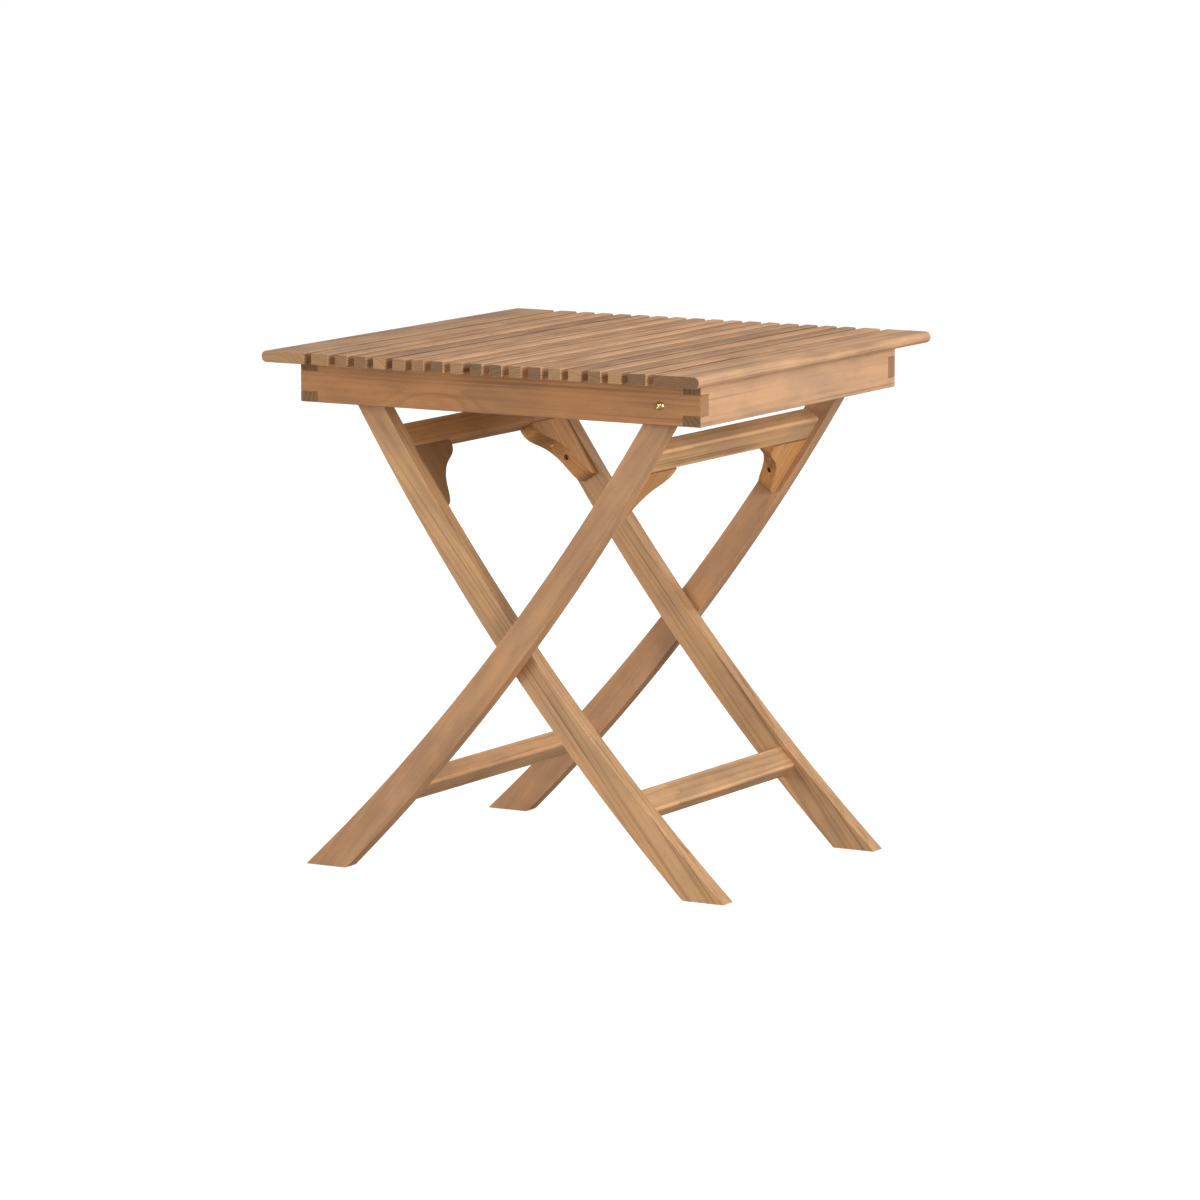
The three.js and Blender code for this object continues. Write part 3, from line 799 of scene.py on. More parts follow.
def side_apron_outline():
    """A side board, whose upper and lower fingers reach out at each end."""
    end, half = apron_half_depth, apron_height / 2
    root = end - long_thickness - JOINT_LINE
    right = [(end, -half), (end, -finger_half), (root, -finger_half), (root, finger_half),
             (end, finger_half), (end, half)]
    return right + [(-x, z) for x, z in reversed(right)]


def apron(name, outline, thickness, centre, turn, heart, tone, material):
    """An apron board, with its outer face at -Y before it is turned into place."""
    reach = max(x for x, z in outline)
    bottom = -apron_height / 2
    full_ends = outline[0][0] == reach

    def rounded(middle, direction):
        at_tip = same(abs(middle.x), reach)
        if same(middle.z, bottom):
            return abs(direction.x) > MOSTLY or (full_ends and at_tip and abs(direction.y) > MOSTLY)
        return at_tip and same(middle.y, -thickness / 2) and abs(direction.z) > MOSTLY

    bm = drawn_solid(outline, thickness)
    ease(bm, APRON_ROUND, 3, rounded)
    ease_sharp(bm, JOINT_EASE)
    place = Matrix.Translation(centre) @ Matrix.Rotation(turn, 4, "Z")
    board(name, bm, place, heart, tone, material, "table_top", name.replace("_board", ""),
          "apron_teak", APRON_HIGHLIGHT_AND_WEAR_WIDTH)


long_y = apron_half_depth - long_thickness / 2
side_x = apron_half_length - side_thickness / 2
apron("front_apron_board", long_apron_outline(), long_thickness, (0, -long_y, apron_middle), 0.0,
      FRONT_HEART, 0.45, front_teak)
apron("back_apron_board", long_apron_outline(), long_thickness, (0, long_y, apron_middle), math.pi,
      (0.040, -0.012), 0.6, front_teak)
apron("left_apron_board", side_apron_outline(), side_thickness, (-side_x, 0, apron_middle),
      -math.pi / 2, (0.045, 0.010), 0.4, side_teak)
apron("right_apron_board", side_apron_outline(), side_thickness, (side_x, 0, apron_middle),
      math.pi / 2, (0.045, -0.010), 0.6, side_teak)

# ---- Batten and stop cleat -------------------------------------------------------------------
# A teak batten runs under the middle of the slats and ties them together. At the left end a cleat
# is screwed to the inside of the apron, and the round tops of the inner legs stop against it.

BATTEN_ROUND = 0.0018
CLEAT_ROUND = 0.0015
# Eased faces narrower than this are painted paler: a painted highlight and rubbed wear.
BATTEN_HIGHLIGHT_AND_WEAR_WIDTH = 0.0016
HEAD_RECESS = 0.0045
HEAD_SUNK = 0.0029
RECESS_START = 0.002
CLEAT_SCREWS = (-0.21, -0.07, 0.07, 0.21)


def plain_board_outline(length, width):
    """A board that is the same all along."""
    x, z = length / 2, width / 2
    return [(-x, -z), (x, -z), (x, z), (-x, z)]


def along_grain(middle, direction):
    """Whether an edge runs along the grain."""
    return abs(direction.x) > MOSTLY


def straight_board(node, along, radius, heart, tone, holes):
    """A planed batten in the box of a CAD node. along is the axis that its grain follows."""
    low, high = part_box(node)
    size = high - low
    length, thickness = (size.x, size.y) if along == "X" else (size.y, size.x)
    bm = drawn_solid(plain_board_outline(length, size.z), thickness)
    ease(bm, radius, 3, along_grain)
    ease_sharp(bm, radius / 3)
    turn = 0.0 if along == "X" else math.pi / 2
    place = Matrix.Translation((low + high) / 2) @ Matrix.Rotation(turn, 4, "Z")
    board(f"{node}_board", bm, place, heart, tone, side_teak, "table_top", node, "apron_teak",
          BATTEN_HIGHLIGHT_AND_WEAR_WIDTH, holes)


batten_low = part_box("slat_batten")[0]
cleat_low, cleat_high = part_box("stop_cleat")
cleat_middle = (cleat_low.z + cleat_high.z) / 2
batten_screws = [Vector((middle_x(f"slat_{n:02d}"), 0.0, batten_low.z)) for n in range(2, 19)]
cleat_screws = [Vector((cleat_high.x, y, cleat_middle)) for y in CLEAT_SCREWS]


def recesses(heads, way):
    """Flat-bottomed holes that the screw heads are sunk in, starting clear of the wood."""
    return [
        (head + way * RECESS_START, -way, HEAD_RECESS, HEAD_SUNK + RECESS_START) for head in heads
    ]


straight_board("slat_batten", "X", BATTEN_ROUND, (0.02, 0.05), 0.35,
               recesses(batten_screws, Vector((0.0, 0.0, -1.0))))
straight_board("stop_cleat", "Y", CLEAT_ROUND, (0.03, 0.03), 0.55,
               recesses(cleat_screws, Vector((1.0, 0.0, 0.0))))

# ---- Legs ------------------------------------------------------------------------------------
# Four legs are sawn from teak planks to a long arc, steeper and narrower towards the top. Their
# tops are round, their soles are cut level with the floor, and every edge is rounded by hand.

LEG_CURVE = 3.333
LEG_WIDTH = 0.0414
LEG_TAPER = 0.0115
LEG_ROUND = 0.0034
# Eased faces narrower than this are painted paler: a painted highlight and rubbed wear.
LEG_HIGHLIGHT_AND_WEAR_WIDTH = 0.0019
SOLE_ROUND = 0.0025
NUT_RECESS = 0.01075
NUT_RECESS_DEPTH = 0.0085
DRILL_START = 0.004
SETTLING_STEPS = 12

plain_teak = teak("outer_leg_wood", (0.54, 0.30, 0.16), (0.36, 0.175, 0.08), ring_width=0.0095,
                  ring_share=0.4, wander=0.018, end_colour=(0.38, 0.21, 0.10), end_share=0.6,
                  streak_share=0.12)
striped_teak = teak("inner_leg_wood", (0.59, 0.345, 0.18), (0.34, 0.16, 0.06), ring_width=0.0085,
                    ring_share=0.6, wander=0.016, end_colour=(0.38, 0.21, 0.10), end_share=0.6,
                    streak_share=0.6)

pin_low, pin_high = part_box("crossing_pin_near")
bolt_low, bolt_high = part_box("top_pivot_bolt_near")
crossing = Vector(((pin_low.x + pin_high.x) / 2, 0.0, (pin_low.z + pin_high.z) / 2))
pivot = Vector(((bolt_low.x + bolt_high.x) / 2, 0.0, (bolt_low.z + bolt_high.z) / 2))
to_pivot = pivot - crossing
leg_slope = math.atan2(to_pivot.z, to_pivot.x) - math.asin(to_pivot.length / (2 * LEG_CURVE))


def half_width_at(arc):
    """Half the width of a leg, an arc length up from the crossing."""
    return (LEG_WIDTH - LEG_TAPER * arc) / 2


def slope_at(arc):
    """How steeply a leg rises there."""
    return leg_slope + arc / LEG_CURVE


def leg_point(lean, arc, across):
    """A place on a leg: an arc length up from the crossing, and an offset across to +X. lean is
    1 where the top leans to +X and -1 where it leans to -X."""
    slope = slope_at(arc)
    run = LEG_CURVE * (math.sin(slope) - math.sin(leg_slope))
    rise = LEG_CURVE * (math.cos(leg_slope) - math.cos(slope))
    return crossing + Vector((lean * run + across * math.sin(slope), 0.0,
                              rise - lean * across * math.cos(slope)))


def arc_at_height(height, across):
    """The arc length at which a line beside the leg's middle is this high over the crossing."""
    start = LEG_CURVE * math.cos(leg_slope)
    return (math.acos((start - height) / (LEG_CURVE + across)) - leg_slope) * LEG_CURVE


def settled_arc(first, better):
    """The arc length that better() no longer changes."""
    arc = first
    for _ in range(SETTLING_STEPS):
        arc = better(arc)
    return arc


def leg_axes(lean, slope):
    """Right-handed axes with X up the leg and Y along the table's Y."""
    up = Vector((lean * math.cos(slope), 0.0, math.sin(slope)))
    away = Vector((0.0, 1.0, 0.0))
    across = up.cross(away)
    return Matrix((up, away, across)).transposed().to_4x4()


def leg_outline(lean, top_arc, steps=28, cap_steps=16):
    """One long edge from the sole up, the round top, and the other long edge back down."""
    edges = {}
    for side in (1, -1):
        foot = settled_arc(
            -crossing.z, lambda a: arc_at_height(-crossing.z, side * lean * half_width_at(a))
        )
        arcs = [foot + (top_arc - foot) * i / steps for i in range(steps + 1)]
        edges[side] = [leg_point(lean, a, side * half_width_at(a)) for a in arcs]
    middle, reach = leg_point(lean, top_arc, 0.0), half_width_at(top_arc)
    start = lean * (slope_at(top_arc) - math.pi / 2)
    angles = [start + math.pi * i / cap_steps for i in range(1, cap_steps)]
    cap = [middle + Vector((math.cos(a), 0.0, math.sin(a))) * reach for a in angles]
    return edges[1] + cap + edges[-1][::-1]


pivot_arc = arc_at_height(pivot.z - crossing.z, 0.0)
inner_top_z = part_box("inner_leg_near")[1].z
inner_top_arc = settled_arc(
    pivot_arc, lambda a: arc_at_height(inner_top_z - half_width_at(a) - crossing.z, 0.0)
)


def leg(frame_name, side_name, lean, top_arc, heart, tone, material, holes=()):
    """One leg, in the place of its CAD node."""
    node = f"{frame_name}_leg_{side_name}"
    low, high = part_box(node)
    thickness = high.y - low.y
    axes = leg_axes(lean, leg_slope)
    place = Matrix.Translation(crossing + Vector((0.0, (low.y + high.y) / 2, 0.0))) @ axes
    outline = [axes.inverted() @ (point - crossing) for point in leg_outline(lean, top_arc)]

    def at_sole(middle, direction):
        tips = (outline[0], outline[-1])
        meets = any(math.hypot(middle.x - p.x, middle.z - p.z) < WELD for p in tips)
        return meets and abs(direction.y) > MOSTLY

    bm = drawn_solid([(p.x, p.z) for p in outline], thickness)
    ease(bm, SOLE_ROUND, 3, at_sole)
    ease(bm, LEG_ROUND, 4, lambda middle, direction: same(abs(middle.y), thickness / 2))
    board(f"{node}_board", bm, place, heart, tone, material, f"{frame_name}_frame", node,
          "leg_teak", LEG_HIGHLIGHT_AND_WEAR_WIDTH, holes)


for side_name, side, outer_heart, inner_heart, outer_tone, inner_tone in (
    ("near", -1, (0.050, 0.016), (0.022, 0.024), 0.45, 0.55),
    ("far", 1, (0.045, -0.020), (0.016, -0.030), 0.40, 0.50),
):
    low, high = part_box(f"outer_leg_{side_name}")
    inner_face = high.y if side < 0 else low.y
    nut_recess = (
        Vector((pivot.x, inner_face - side * DRILL_START, pivot.z)),
        (0.0, side, 0.0),
        NUT_RECESS,
        NUT_RECESS_DEPTH + DRILL_START,
    )
    leg("outer", side_name, 1, pivot_arc, outer_heart, outer_tone, plain_teak, [nut_recess])
    leg("inner", side_name, -1, inner_top_arc, inner_heart, inner_tone, striped_teak)

# ---- Rails -----------------------------------------------------------------------------------
# Each pair of legs is held by an upper and a lower rail, tenoned into the legs and glued. The
# inner lower rail is made up of two lengths of teak, joined near one end with glued fingers.

RAIL_WIDTH = 0.038
RAIL_THICKNESS = 0.0275
RAIL_ROUND = 0.0042
# Eased faces narrower than this are painted paler: a painted highlight and rubbed wear.
RAIL_HIGHLIGHT_AND_WEAR_WIDTH = 0.0022
SEAM_FINGER = 0.017
SEAM_FROM_NEAR_END = 0.085
SEAM_STEPS = 3
SEAM_GAP = 0.0001
SEAM_EASE = 0.00012

# Painted shade: a darker, redder copy of teak for the brackets and the inner upper rail, which sit in
# shade under the rails and the top. The warm bounced light of that shade is painted into its colour, on
# top of the wood's own colour.
shade_deepened_teak = teak("shade_deepened_wood", (0.55, 0.275, 0.105), (0.32, 0.128, 0.040), ring_width=0.0055,
                 ring_share=0.7, wander=0.020, end_colour=(0.34, 0.17, 0.07), end_share=0.6,
                 streak_share=0.7)

leg_insides = {
    "outer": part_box("outer_leg_far")[0].y,
    "inner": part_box("inner_leg_far")[0].y,
}


def rail_place(node, lean):
    """Where a rail lies, with X along it, Z up the leg and Y across the leg."""
    low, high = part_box(node)
    middle = (low + high) / 2
    offset = middle - crossing
    arc = math.copysign(offset.length, offset.z)
    slope = slope_at(arc)
    up = Vector((lean * math.cos(slope), 0.0, math.sin(slope)))
    along = Vector((0.0, 1.0, 0.0))
    axes = Matrix((along, up.cross(along), up)).transposed().to_4x4()
    return Matrix.Translation(Vector((middle.x, 0.0, middle.z))) @ axes


for node, lean, heart, tone, material in (
    ("outer_upper_rail", 1, (0.040, 0.008), 0.55, striped_teak),
    ("outer_lower_rail", 1, (0.016, 0.030), 0.60, striped_teak),
    # The inner upper rail's low tone and its darker teak are painted shade, for its place in shade under
    # the top.
    ("inner_upper_rail", -1, (0.035, 0.020), 0.20, shade_deepened_teak),
):
    frame_name = node.split("_")[0]
    bm = drawn_solid(plain_board_outline(2 * leg_insides[frame_name], RAIL_WIDTH), RAIL_THICKNESS)
    ease(bm, RAIL_ROUND, 4, along_grain)
    board(f"{node}_board", bm, rail_place(node, lean), heart, tone, material, f"{frame_name}_frame",
          node, "leg_teak", RAIL_HIGHLIGHT_AND_WEAR_WIDTH)


def seam_line(offset):
    """The stepped line of the finger joint, from the lower edge of the rail to the upper."""
    start = -leg_insides["inner"] + SEAM_FROM_NEAR_END
    line = []
    for i in range(SEAM_STEPS):
        low = -RAIL_WIDTH / 2 + RAIL_WIDTH * i / SEAM_STEPS
        high = -RAIL_WIDTH / 2 + RAIL_WIDTH * (i + 1) / SEAM_STEPS
        x = start + (SEAM_FINGER if i % 2 else 0.0) + offset
        line += [(x, low), (x, high)]
    return line


def on_long_edge(middle, direction):
    """Whether an edge runs along the top or the bottom of a rail."""
    return along_grain(middle, direction) and same(abs(middle.z), RAIL_WIDTH / 2)


rail_end = leg_insides["inner"]
rail_half_width = RAIL_WIDTH / 2
near_part = seam_line(-SEAM_GAP) + [(-rail_end, rail_half_width), (-rail_end, -rail_half_width)]
far_part = seam_line(SEAM_GAP)[::-1] + [(rail_end, -rail_half_width), (rail_end, rail_half_width)]
for name, outline, heart, tone in (
    ("inner_lower_rail_near_length", near_part, (0.018, 0.012), 0.62),
    ("inner_lower_rail_far_length", far_part, (0.030, -0.026), 0.50),
):
    bm = drawn_solid(outline, RAIL_THICKNESS)
    ease(bm, RAIL_ROUND, 4, on_long_edge)
    ease_sharp(bm, SEAM_EASE)
    board(name, bm, rail_place("inner_lower_rail", -1), heart, tone, striped_teak, "inner_frame",
          "inner_lower_rail", "leg_teak", RAIL_HIGHLIGHT_AND_WEAR_WIDTH)

# ---- Corner brackets -------------------------------------------------------------------------
# An ogee bracket stiffens each corner under an upper rail. It is band-sawn from teak with its
# grain down the leg, and screwed to the leg and to the rail through recesses in its curved edge.

BRACKET_REACH = 0.098
BRACKET_THICKNESS = 0.0255
BRACKET_ROUND = 0.0015
# Eased faces narrower than this are painted paler: a painted highlight and rubbed wear.
BRACKET_HIGHLIGHT_AND_WEAR_WIDTH = 0.0011
SCREW_OFFSET = 0.059
SCREW_GRIP = 0.026
RECESS_RADIUS = 0.0043
HOLE_RADIUS = 0.0023
BORE_LENGTH = 0.08
BORE_START = 0.01
SQUARE_CORNER = 0.001
WAIST = 0.47
TIP_HOLD = 0.275
WAIST_HOLD = (0.245, 0.67)


def cubic(a, b, c, d, steps=12):
    """Points along a cubic curve, without its first."""
    points = []
    for i in range(1, steps + 1):
        t = i / steps
        weights = ((1 - t) ** 3, 3 * t * (1 - t) ** 2, 3 * t * t * (1 - t), t ** 3)
        points.append(tuple(sum(w * p[k] for w, p in zip(weights, (a, b, c, d))) for k in (0, 1)))
    return points


def bracket_outline():
    """X is down the leg and Z along the rail, from the square corner."""
    reach = BRACKET_REACH
    waist = (WAIST * reach, WAIST * reach)
    tip = TIP_HOLD * reach
    near, far = (share * reach for share in WAIST_HOLD)
    outline = [(0.0, 0.0), (0.0, reach)]
    outline += cubic((0.0, reach), (tip, reach), (near, far), waist)
    outline += cubic(waist, (far, near), (reach, tip), (reach, 0.0))
    return outline


def on_curve(middle, direction):
    """Whether an edge of a bracket goes along its curve, and not along the leg or the rail."""
    on_face = same(abs(middle.y), BRACKET_THICKNESS / 2)
    return on_face and middle.x > SQUARE_CORNER and middle.z > SQUARE_CORNER


for frame_name, lean, side_name, side, heart, tone in (
    ("outer", 1, "near", -1, (0.02, 0.03), 0.8),
    ("outer", 1, "far", 1, (0.03, -0.02), 1.1),
    # The near inner bracket's low tone is painted shade, for the shade that the leg casts on it.
    ("inner", -1, "near", -1, (0.02, 0.03), -0.85),
    ("inner", -1, "far", 1, (0.03, -0.02), 1.5),
):
    node = f"{frame_name}_bracket_{side_name}"
    rail_matrix = rail_place(f"{frame_name}_upper_rail", lean)
    down = -rail_matrix.col[2].xyz
    to_right = -rail_matrix.col[1].xyz
    inwards = Vector((0.0, -side, 0.0))
    corner = rail_matrix.to_translation() + to_right * (RAIL_THICKNESS - BRACKET_THICKNESS) / 2
    corner += down * (RAIL_WIDTH / 2 + JOINT_LINE) - inwards * (leg_insides[frame_name] - JOINT_LINE)
    axes = Matrix((down, inwards.cross(down), inwards)).transposed().to_4x4()
    bm = drawn_solid(bracket_outline(), BRACKET_THICKNESS)
    ease(bm, BRACKET_ROUND, 2, on_curve)
    leg_screw = corner + down * SCREW_OFFSET
    rail_screw = corner + inwards * SCREW_OFFSET
    holes = [
        (leg_screw + inwards * SCREW_GRIP, inwards, RECESS_RADIUS, BORE_LENGTH),
        (leg_screw - inwards * BORE_START, inwards, HOLE_RADIUS, BORE_LENGTH),
        (rail_screw + down * SCREW_GRIP, down, RECESS_RADIUS, BORE_LENGTH),
        (rail_screw - down * BORE_START, down, HOLE_RADIUS, BORE_LENGTH),
    ]
    board(f"{node}_board", bm, Matrix.Translation(corner) @ axes, heart, tone, shade_deepened_teak,
          f"{frame_name}_frame", node, "leg_teak", BRACKET_HIGHLIGHT_AND_WEAR_WIDTH, holes)

# ---- Wood screws -----------------------------------------------------------------------------
# Brass pan-head screws with a cross recess hold the slats to the batten, the cleat to the apron
# and each bracket to its leg and rail. Each is sunk in its recess and turned to its own angle.

SCREW_HEAD_RADIUS = 0.004
SCREW_HEAD_HEIGHT = 0.0026
CROSS_WIDTH = 0.0009
CROSS_LENGTH = 4.6
CROWN_SHARE = 0.7
TIP_SHARE = 0.4
SKIRT_OVERLAP = 1.02
SLAT_SCREW_RADIUS = 0.0018
SLAT_SCREW_LENGTH = 0.028
BRACKET_SCREW_RADIUS = 0.002
BRACKET_SCREW_LENGTH = 0.0444
BRACKET_SCREW_MIDDLE = 0.0223
SCRATCH_DEPTH = 0.0001


def metal(name, colour, roughness, scratch, tarnish):
    """Bare metal with drawn marks, dull patches and a few fine scratches."""
    material = bpy.data.materials.new(name)
    material.use_nodes = True
    tree = material.node_tree
    surface = tree.nodes["Principled BSDF"]
    here = tree.nodes.new("ShaderNodeTexCoord").outputs["Object"]
    patches = noise(tree, stretch(tree, here, 220.0, 220.0), 3.0)
    marks = noise(tree, stretch(tree, here, 2600.0, 900.0), 2.0, 0.7)
    dulled = remap(tree, patches, 0.42, 0.68, 0.0, tarnish)
    dull_colour = tuple(c * k for c, k in zip(colour, (0.55, 0.48, 0.40)))
    tree.links.new(blend_colours(tree, dulled, (*colour, 1.0), (*dull_colour, 1.0)),
                   surface.inputs["Base Color"])
    surface.inputs["Metallic"].default_value = 1.0
    rough = maths(tree, "ADD", roughness, maths(tree, "MULTIPLY", marks, 0.12))
    rough = maths(tree, "ADD", rough, maths(tree, "MULTIPLY", dulled, 0.25))
    tree.links.new(rough, surface.inputs["Roughness"])
    bump = tree.nodes.new("ShaderNodeBump")
    bump.inputs["Strength"].default_value = scratch
    bump.inputs["Distance"].default_value = SCRATCH_DEPTH
    tree.links.new(marks, bump.inputs["Height"])
    tree.links.new(bump.outputs["Normal"], surface.inputs["Normal"])
    return material


brass = metal("polished_brass", (0.86, 0.62, 0.27), 0.20, 0.25, 0.45)
# A darker, duller brass for the wood screws.
dark_dull_brass = metal("dark_dull_brass", (0.46, 0.32, 0.16), 0.38, 0.35, 0.6)
steel = metal("bright_steel", (0.62, 0.60, 0.57), 0.30, 0.30, 0.30)


def build_screw_tree():
    """A screw on every point of the mesh that comes in, looking along the point's Way."""
    tree, given, made = new_group(
        "wood_screws",
        "GeometryNodeTree",
        [
            ("Points", "NodeSocketGeometry"),
            ("Head Radius", "NodeSocketFloat"),
            ("Head Height", "NodeSocketFloat"),
            ("Shank Radius", "NodeSocketFloat"),
            ("Length", "NodeSocketFloat"),
            ("Recess Width", "NodeSocketFloat"),
            ("Seed", "NodeSocketInt"),
            ("Material", "NodeSocketMaterial"),
        ],
        [("Screws", "NodeSocketGeometry")],
    )

    def raised(mesh, height):
        up = tree.nodes.new("ShaderNodeCombineXYZ")
        feed(tree, up.inputs["Z"], height)
        new = tree.nodes.new("GeometryNodeTransform")
        tree.links.new(mesh, new.inputs["Geometry"])
        tree.links.new(up.outputs[0], new.inputs["Translation"])
        return new.outputs["Geometry"]

    def tapered(top, bottom, height, base):
        new = tree.nodes.new("GeometryNodeMeshCone")
        new.inputs["Vertices"].default_value = 28
        feed(tree, new.inputs["Radius Top"], top)
        feed(tree, new.inputs["Radius Bottom"], bottom)
        feed(tree, new.inputs["Depth"], height)
        return raised(new.outputs["Mesh"], base)

    def joined(*meshes):
        new = tree.nodes.new("GeometryNodeMeshBoolean")
        new.operation = "UNION"
        new.solver = "EXACT"
        for mesh in meshes:
            tree.links.new(mesh, new.inputs["Mesh 2"])
        return new.outputs["Mesh"]

    def cut_out(mesh, *cutters):
        new = tree.nodes.new("GeometryNodeMeshBoolean")
        new.operation = "DIFFERENCE"
        new.solver = "EXACT"
        tree.links.new(mesh, new.inputs["Mesh 1"])
        for cutter in cutters:
            tree.links.new(cutter, new.inputs["Mesh 2"])
        return new.outputs["Mesh"]

    # The head in two cones, one under the other, and the shank below
    head_radius, head_height = given.outputs["Head Radius"], given.outputs["Head Height"]
    length, shank_radius = given.outputs["Length"], given.outputs["Shank Radius"]
    half_height = maths(tree, "MULTIPLY", head_height, 0.5)
    crown = tapered(maths(tree, "MULTIPLY", head_radius, CROWN_SHARE), head_radius, half_height,
                    maths(tree, "MULTIPLY", half_height, -1.0))
    skirt = tapered(head_radius, head_radius, maths(tree, "MULTIPLY", half_height, SKIRT_OVERLAP),
                    maths(tree, "MULTIPLY", head_height, -1.0))
    shank = tapered(shank_radius, maths(tree, "MULTIPLY", shank_radius, TIP_SHARE), length,
                    maths(tree, "MULTIPLY", length, -1.0))
    arms = []
    for long_side in ("X", "Y"):
        size = tree.nodes.new("ShaderNodeCombineXYZ")
        for axis in ("X", "Y"):
            share = CROSS_LENGTH if axis == long_side else 1.0
            feed(tree, size.inputs[axis], maths(tree, "MULTIPLY", given.outputs["Recess Width"], share))
        feed(tree, size.inputs["Z"], head_height)
        arm = tree.nodes.new("GeometryNodeMeshCube")
        tree.links.new(size.outputs[0], arm.inputs["Size"])
        arms.append(arm.outputs["Mesh"])
    screw = cut_out(joined(crown, skirt, shank), *arms)

    # One on each point, turned home to its own angle
    way = tree.nodes.new("GeometryNodeInputNamedAttribute")
    way.data_type = "FLOAT_VECTOR"
    way.inputs["Name"].default_value = "way"
    aim = tree.nodes.new("FunctionNodeAlignRotationToVector")
    aim.axis = "Z"
    tree.links.new(way.outputs["Attribute"], aim.inputs["Vector"])
    home = tree.nodes.new("FunctionNodeRandomValue")
    home.data_type = "FLOAT"
    home.inputs[3].default_value = math.pi
    tree.links.new(given.outputs["Seed"], home.inputs["Seed"])
    twist = tree.nodes.new("FunctionNodeAxisAngleToRotation")
    twist.inputs["Axis"].default_value = (0.0, 0.0, 1.0)
    tree.links.new(home.outputs[1], twist.inputs["Angle"])
    turned = tree.nodes.new("FunctionNodeRotateRotation")
    turned.rotation_space = "LOCAL"
    tree.links.new(aim.outputs["Rotation"], turned.inputs["Rotation"])
    tree.links.new(twist.outputs["Rotation"], turned.inputs["Rotate By"])
    driven = tree.nodes.new("GeometryNodeInstanceOnPoints")
    tree.links.new(given.outputs["Points"], driven.inputs["Points"])
    tree.links.new(screw, driven.inputs["Instance"])
    tree.links.new(turned.outputs["Rotation"], driven.inputs["Rotation"])
    real = tree.nodes.new("GeometryNodeRealizeInstances")
    tree.links.new(driven.outputs["Instances"], real.inputs["Geometry"])
    coated = tree.nodes.new("GeometryNodeSetMaterial")
    tree.links.new(real.outputs["Geometry"], coated.inputs["Geometry"])
    tree.links.new(given.outputs["Material"], coated.inputs["Material"])
    tree.links.new(coated.outputs["Geometry"], made.inputs["Screws"])
    return tree


screw_tree = build_screw_tree()


def drive_screws(name, places, shank_radius, length, seed, body, nodes):
    """Screws whose heads lie at the given places, each with the way its head looks."""
    mesh = bpy.data.meshes.new(name)
    mesh.from_pydata([place for place, direction in places], [], [])
    way = mesh.attributes.new("way", "FLOAT_VECTOR", "POINT")
    way.data.foreach_set("vector", [c for place, direction in places for c in direction])
    screws = linked(name, mesh)
    plain = run_tree(screws, screw_tree, (
        ("Head Radius", SCREW_HEAD_RADIUS),
        ("Head Height", SCREW_HEAD_HEIGHT),
        ("Shank Radius", shank_radius),
        ("Length", length),
        ("Recess Width", CROSS_WIDTH),
        ("Seed", seed),
        ("Material", dark_dull_brass),
    ))
    weld_mesh(plain)
    plain.polygons.foreach_set("use_smooth", [True] * len(plain.polygons))
    plain.set_sharp_from_angle(angle=math.radians(30))
    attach(screws, body)
    if nodes:
        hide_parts(*nodes)


sunk = HEAD_SUNK - SCREW_HEAD_HEIGHT
places = [(head + Vector((0.0, 0.0, sunk)), (0.0, 0.0, -1.0)) for head in batten_screws]
places += [(head - Vector((sunk, 0.0, 0.0)), (1.0, 0.0, 0.0)) for head in cleat_screws]
drive_screws("slat_and_cleat_screws", places, SLAT_SCREW_RADIUS, SLAT_SCREW_LENGTH, 21, "table_top", [])

for frame_name, lean, seed in (("outer", 1, 3), ("inner", -1, 6)):
    down = -rail_place(f"{frame_name}_upper_rail", lean).col[2].xyz
    places = []
    nodes = []
    for side_name, side in (("near", -1), ("far", 1)):
        leg_node = f"{frame_name}_leg_screw_{side_name}"
        low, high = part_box(leg_node)
        head = Vector(((low.x + high.x) / 2, low.y if side > 0 else high.y, (low.z + high.z) / 2))
        places.append((head, Vector((0.0, -side, 0.0))))
        rail_node = f"{frame_name}_rail_screw_{side_name}"
        low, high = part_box(rail_node)
        places.append(((low + high) / 2 + down * BRACKET_SCREW_MIDDLE, down))
        nodes += [leg_node, rail_node]
    drive_screws(f"{frame_name}_bracket_screws", places, BRACKET_SCREW_RADIUS, BRACKET_SCREW_LENGTH,
                 seed, f"{frame_name}_frame", nodes)

# ---- Crossings -------------------------------------------------------------------------------
# Where the legs cross, a steel pin stands in the inner leg and turns in a brass bush that is
# sunk blind in the outer leg. A thin brass spacer keeps the two faces apart.


def carried_over(name, material):
    """A CAD node that is right as it is, given its finish."""
    thing = bpy.data.objects[name]
    if not thing.material_slots:
        thing.data.materials.append(material)
    for slot in thing.material_slots:
        slot.material = material


for side_name in ("near", "far"):
    carried_over(f"crossing_pin_{side_name}", steel)
    carried_over(f"crossing_spacer_{side_name}", brass)
    carried_over(f"crossing_bush_{side_name}", brass)

# ---- Top pivot bolts -------------------------------------------------------------------------
# A brass bolt with a slotted dome head goes through each long apron board and the round top of
# the outer leg. A spacer lies between them, and the nut and its washer are sunk in the leg.

BOLT_RADIUS = 0.004
HEAD_RADIUS = 0.0065
HEAD_HEIGHT = 0.0042
HEAD_RIM = 0.0003
DOME_SWEEP = math.radians(62)
TIP_CHAMFER = 0.0006
SLOT_WIDTH = 0.0014
SLOT_DEPTH = 0.0015
SLOT_ANGLE = math.radians(45)


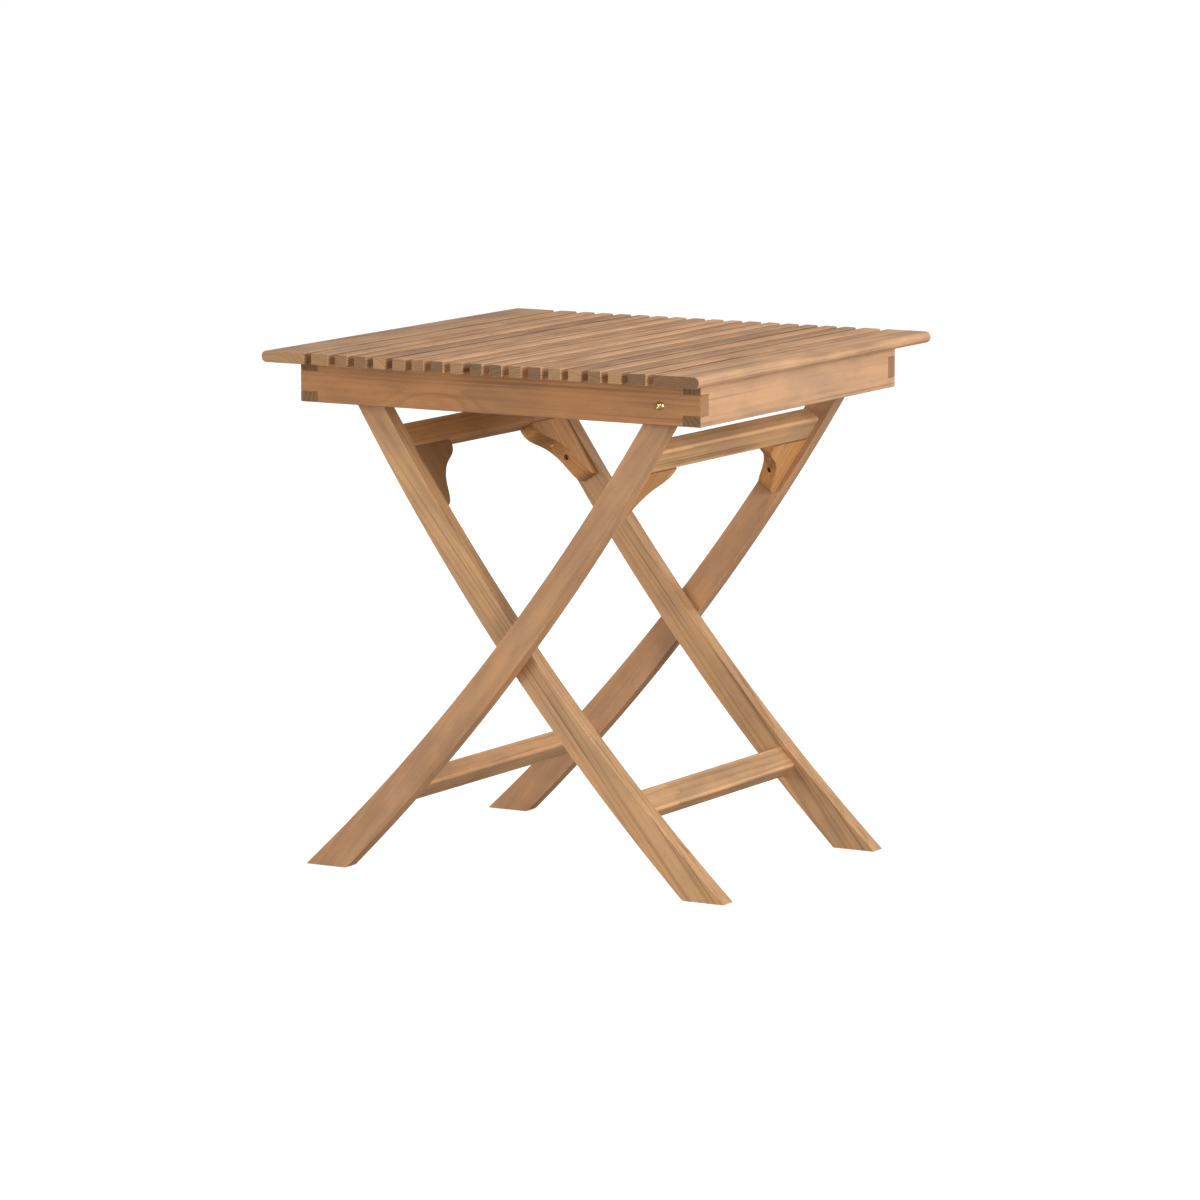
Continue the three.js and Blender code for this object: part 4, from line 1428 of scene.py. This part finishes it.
def dome_profile(length, steps=9):
    """Radii and heights down the bolt, from the crown of its dome to the chamfer at its tip."""
    ball = HEAD_RADIUS / math.sin(DOME_SWEEP)
    profile = []
    for i in range(1, steps + 1):
        angle = DOME_SWEEP * i / steps
        profile.append((ball * math.sin(angle), HEAD_HEIGHT - ball * (1 - math.cos(angle))))
    shank = length - HEAD_HEIGHT
    return profile + [
        (HEAD_RADIUS, HEAD_RIM),
        (HEAD_RADIUS - HEAD_RIM, 0.0),
        (BOLT_RADIUS, 0.0),
        (BOLT_RADIUS, -shank + TIP_CHAMFER),
        (BOLT_RADIUS - TIP_CHAMFER, -shank),
    ]


def turned_solid(profile, around=48):
    """A solid turned on a lathe about Z, with a point at the crown and a flat tip."""
    bm = bmesh.new()
    crown = bm.verts.new((0.0, 0.0, HEAD_HEIGHT))
    rings = []
    for radius, height in profile:
        turns = [2 * math.pi * i / around for i in range(around)]
        rings.append([bm.verts.new((radius * math.cos(t), radius * math.sin(t), height)) for t in turns])
    for i in range(around):
        j = (i + 1) % around
        bm.faces.new((crown, rings[0][i], rings[0][j]))
        for upper, lower in zip(rings, rings[1:]):
            bm.faces.new((upper[i], lower[i], lower[j], upper[j]))
    bm.faces.new(rings[-1][::-1])
    bmesh.ops.recalc_face_normals(bm, faces=bm.faces)
    return bm


def slot_cutter():
    """The saw's cut across the head."""
    bm = bmesh.new()
    bmesh.ops.create_cube(bm, size=1.0)
    size = Matrix.Diagonal((4 * HEAD_RADIUS, SLOT_WIDTH, 2 * SLOT_DEPTH, 1.0))
    place = Matrix.Translation((0.0, 0.0, HEAD_HEIGHT)) @ Matrix.Rotation(SLOT_ANGLE, 4, "Z")
    bmesh.ops.transform(bm, matrix=place @ size, verts=bm.verts)
    return bm


for side_name, side in (("near", -1), ("far", 1)):
    node = f"top_pivot_bolt_{side_name}"
    low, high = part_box(node)
    bolt = made_from(turned_solid(dome_profile(high.y - low.y)), f"{node}_turned")
    slot = made_from(slot_cutter(), "slot")
    cut = bolt.modifiers.new("slot", "BOOLEAN")
    cut.operation = "DIFFERENCE"
    cut.solver = "EXACT"
    cut.object = slot
    plain = apply_modifiers(bolt)
    bpy.data.objects.remove(slot)
    weld_mesh(plain)
    head_face = Vector((pivot.x, side * apron_half_depth, pivot.z))
    sideways, upwards, outwards = Vector((-side, 0, 0)), Vector((0, 0, 1)), Vector((0, side, 0))
    axes = Matrix((sideways, upwards, outwards)).transposed().to_4x4()
    plain.transform(Matrix.Translation(head_face) @ axes)
    plain.materials.clear()
    plain.materials.append(brass)
    plain.polygons.foreach_set("use_smooth", [True] * len(plain.polygons))
    plain.set_sharp_from_angle(angle=math.radians(35))
    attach(bolt, "table_top")
    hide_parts(node)
    carried_over(f"top_pivot_spacer_{side_name}", brass)
    carried_over(f"top_pivot_washer_{side_name}", brass)
    carried_over(f"top_pivot_nut_{side_name}", brass)
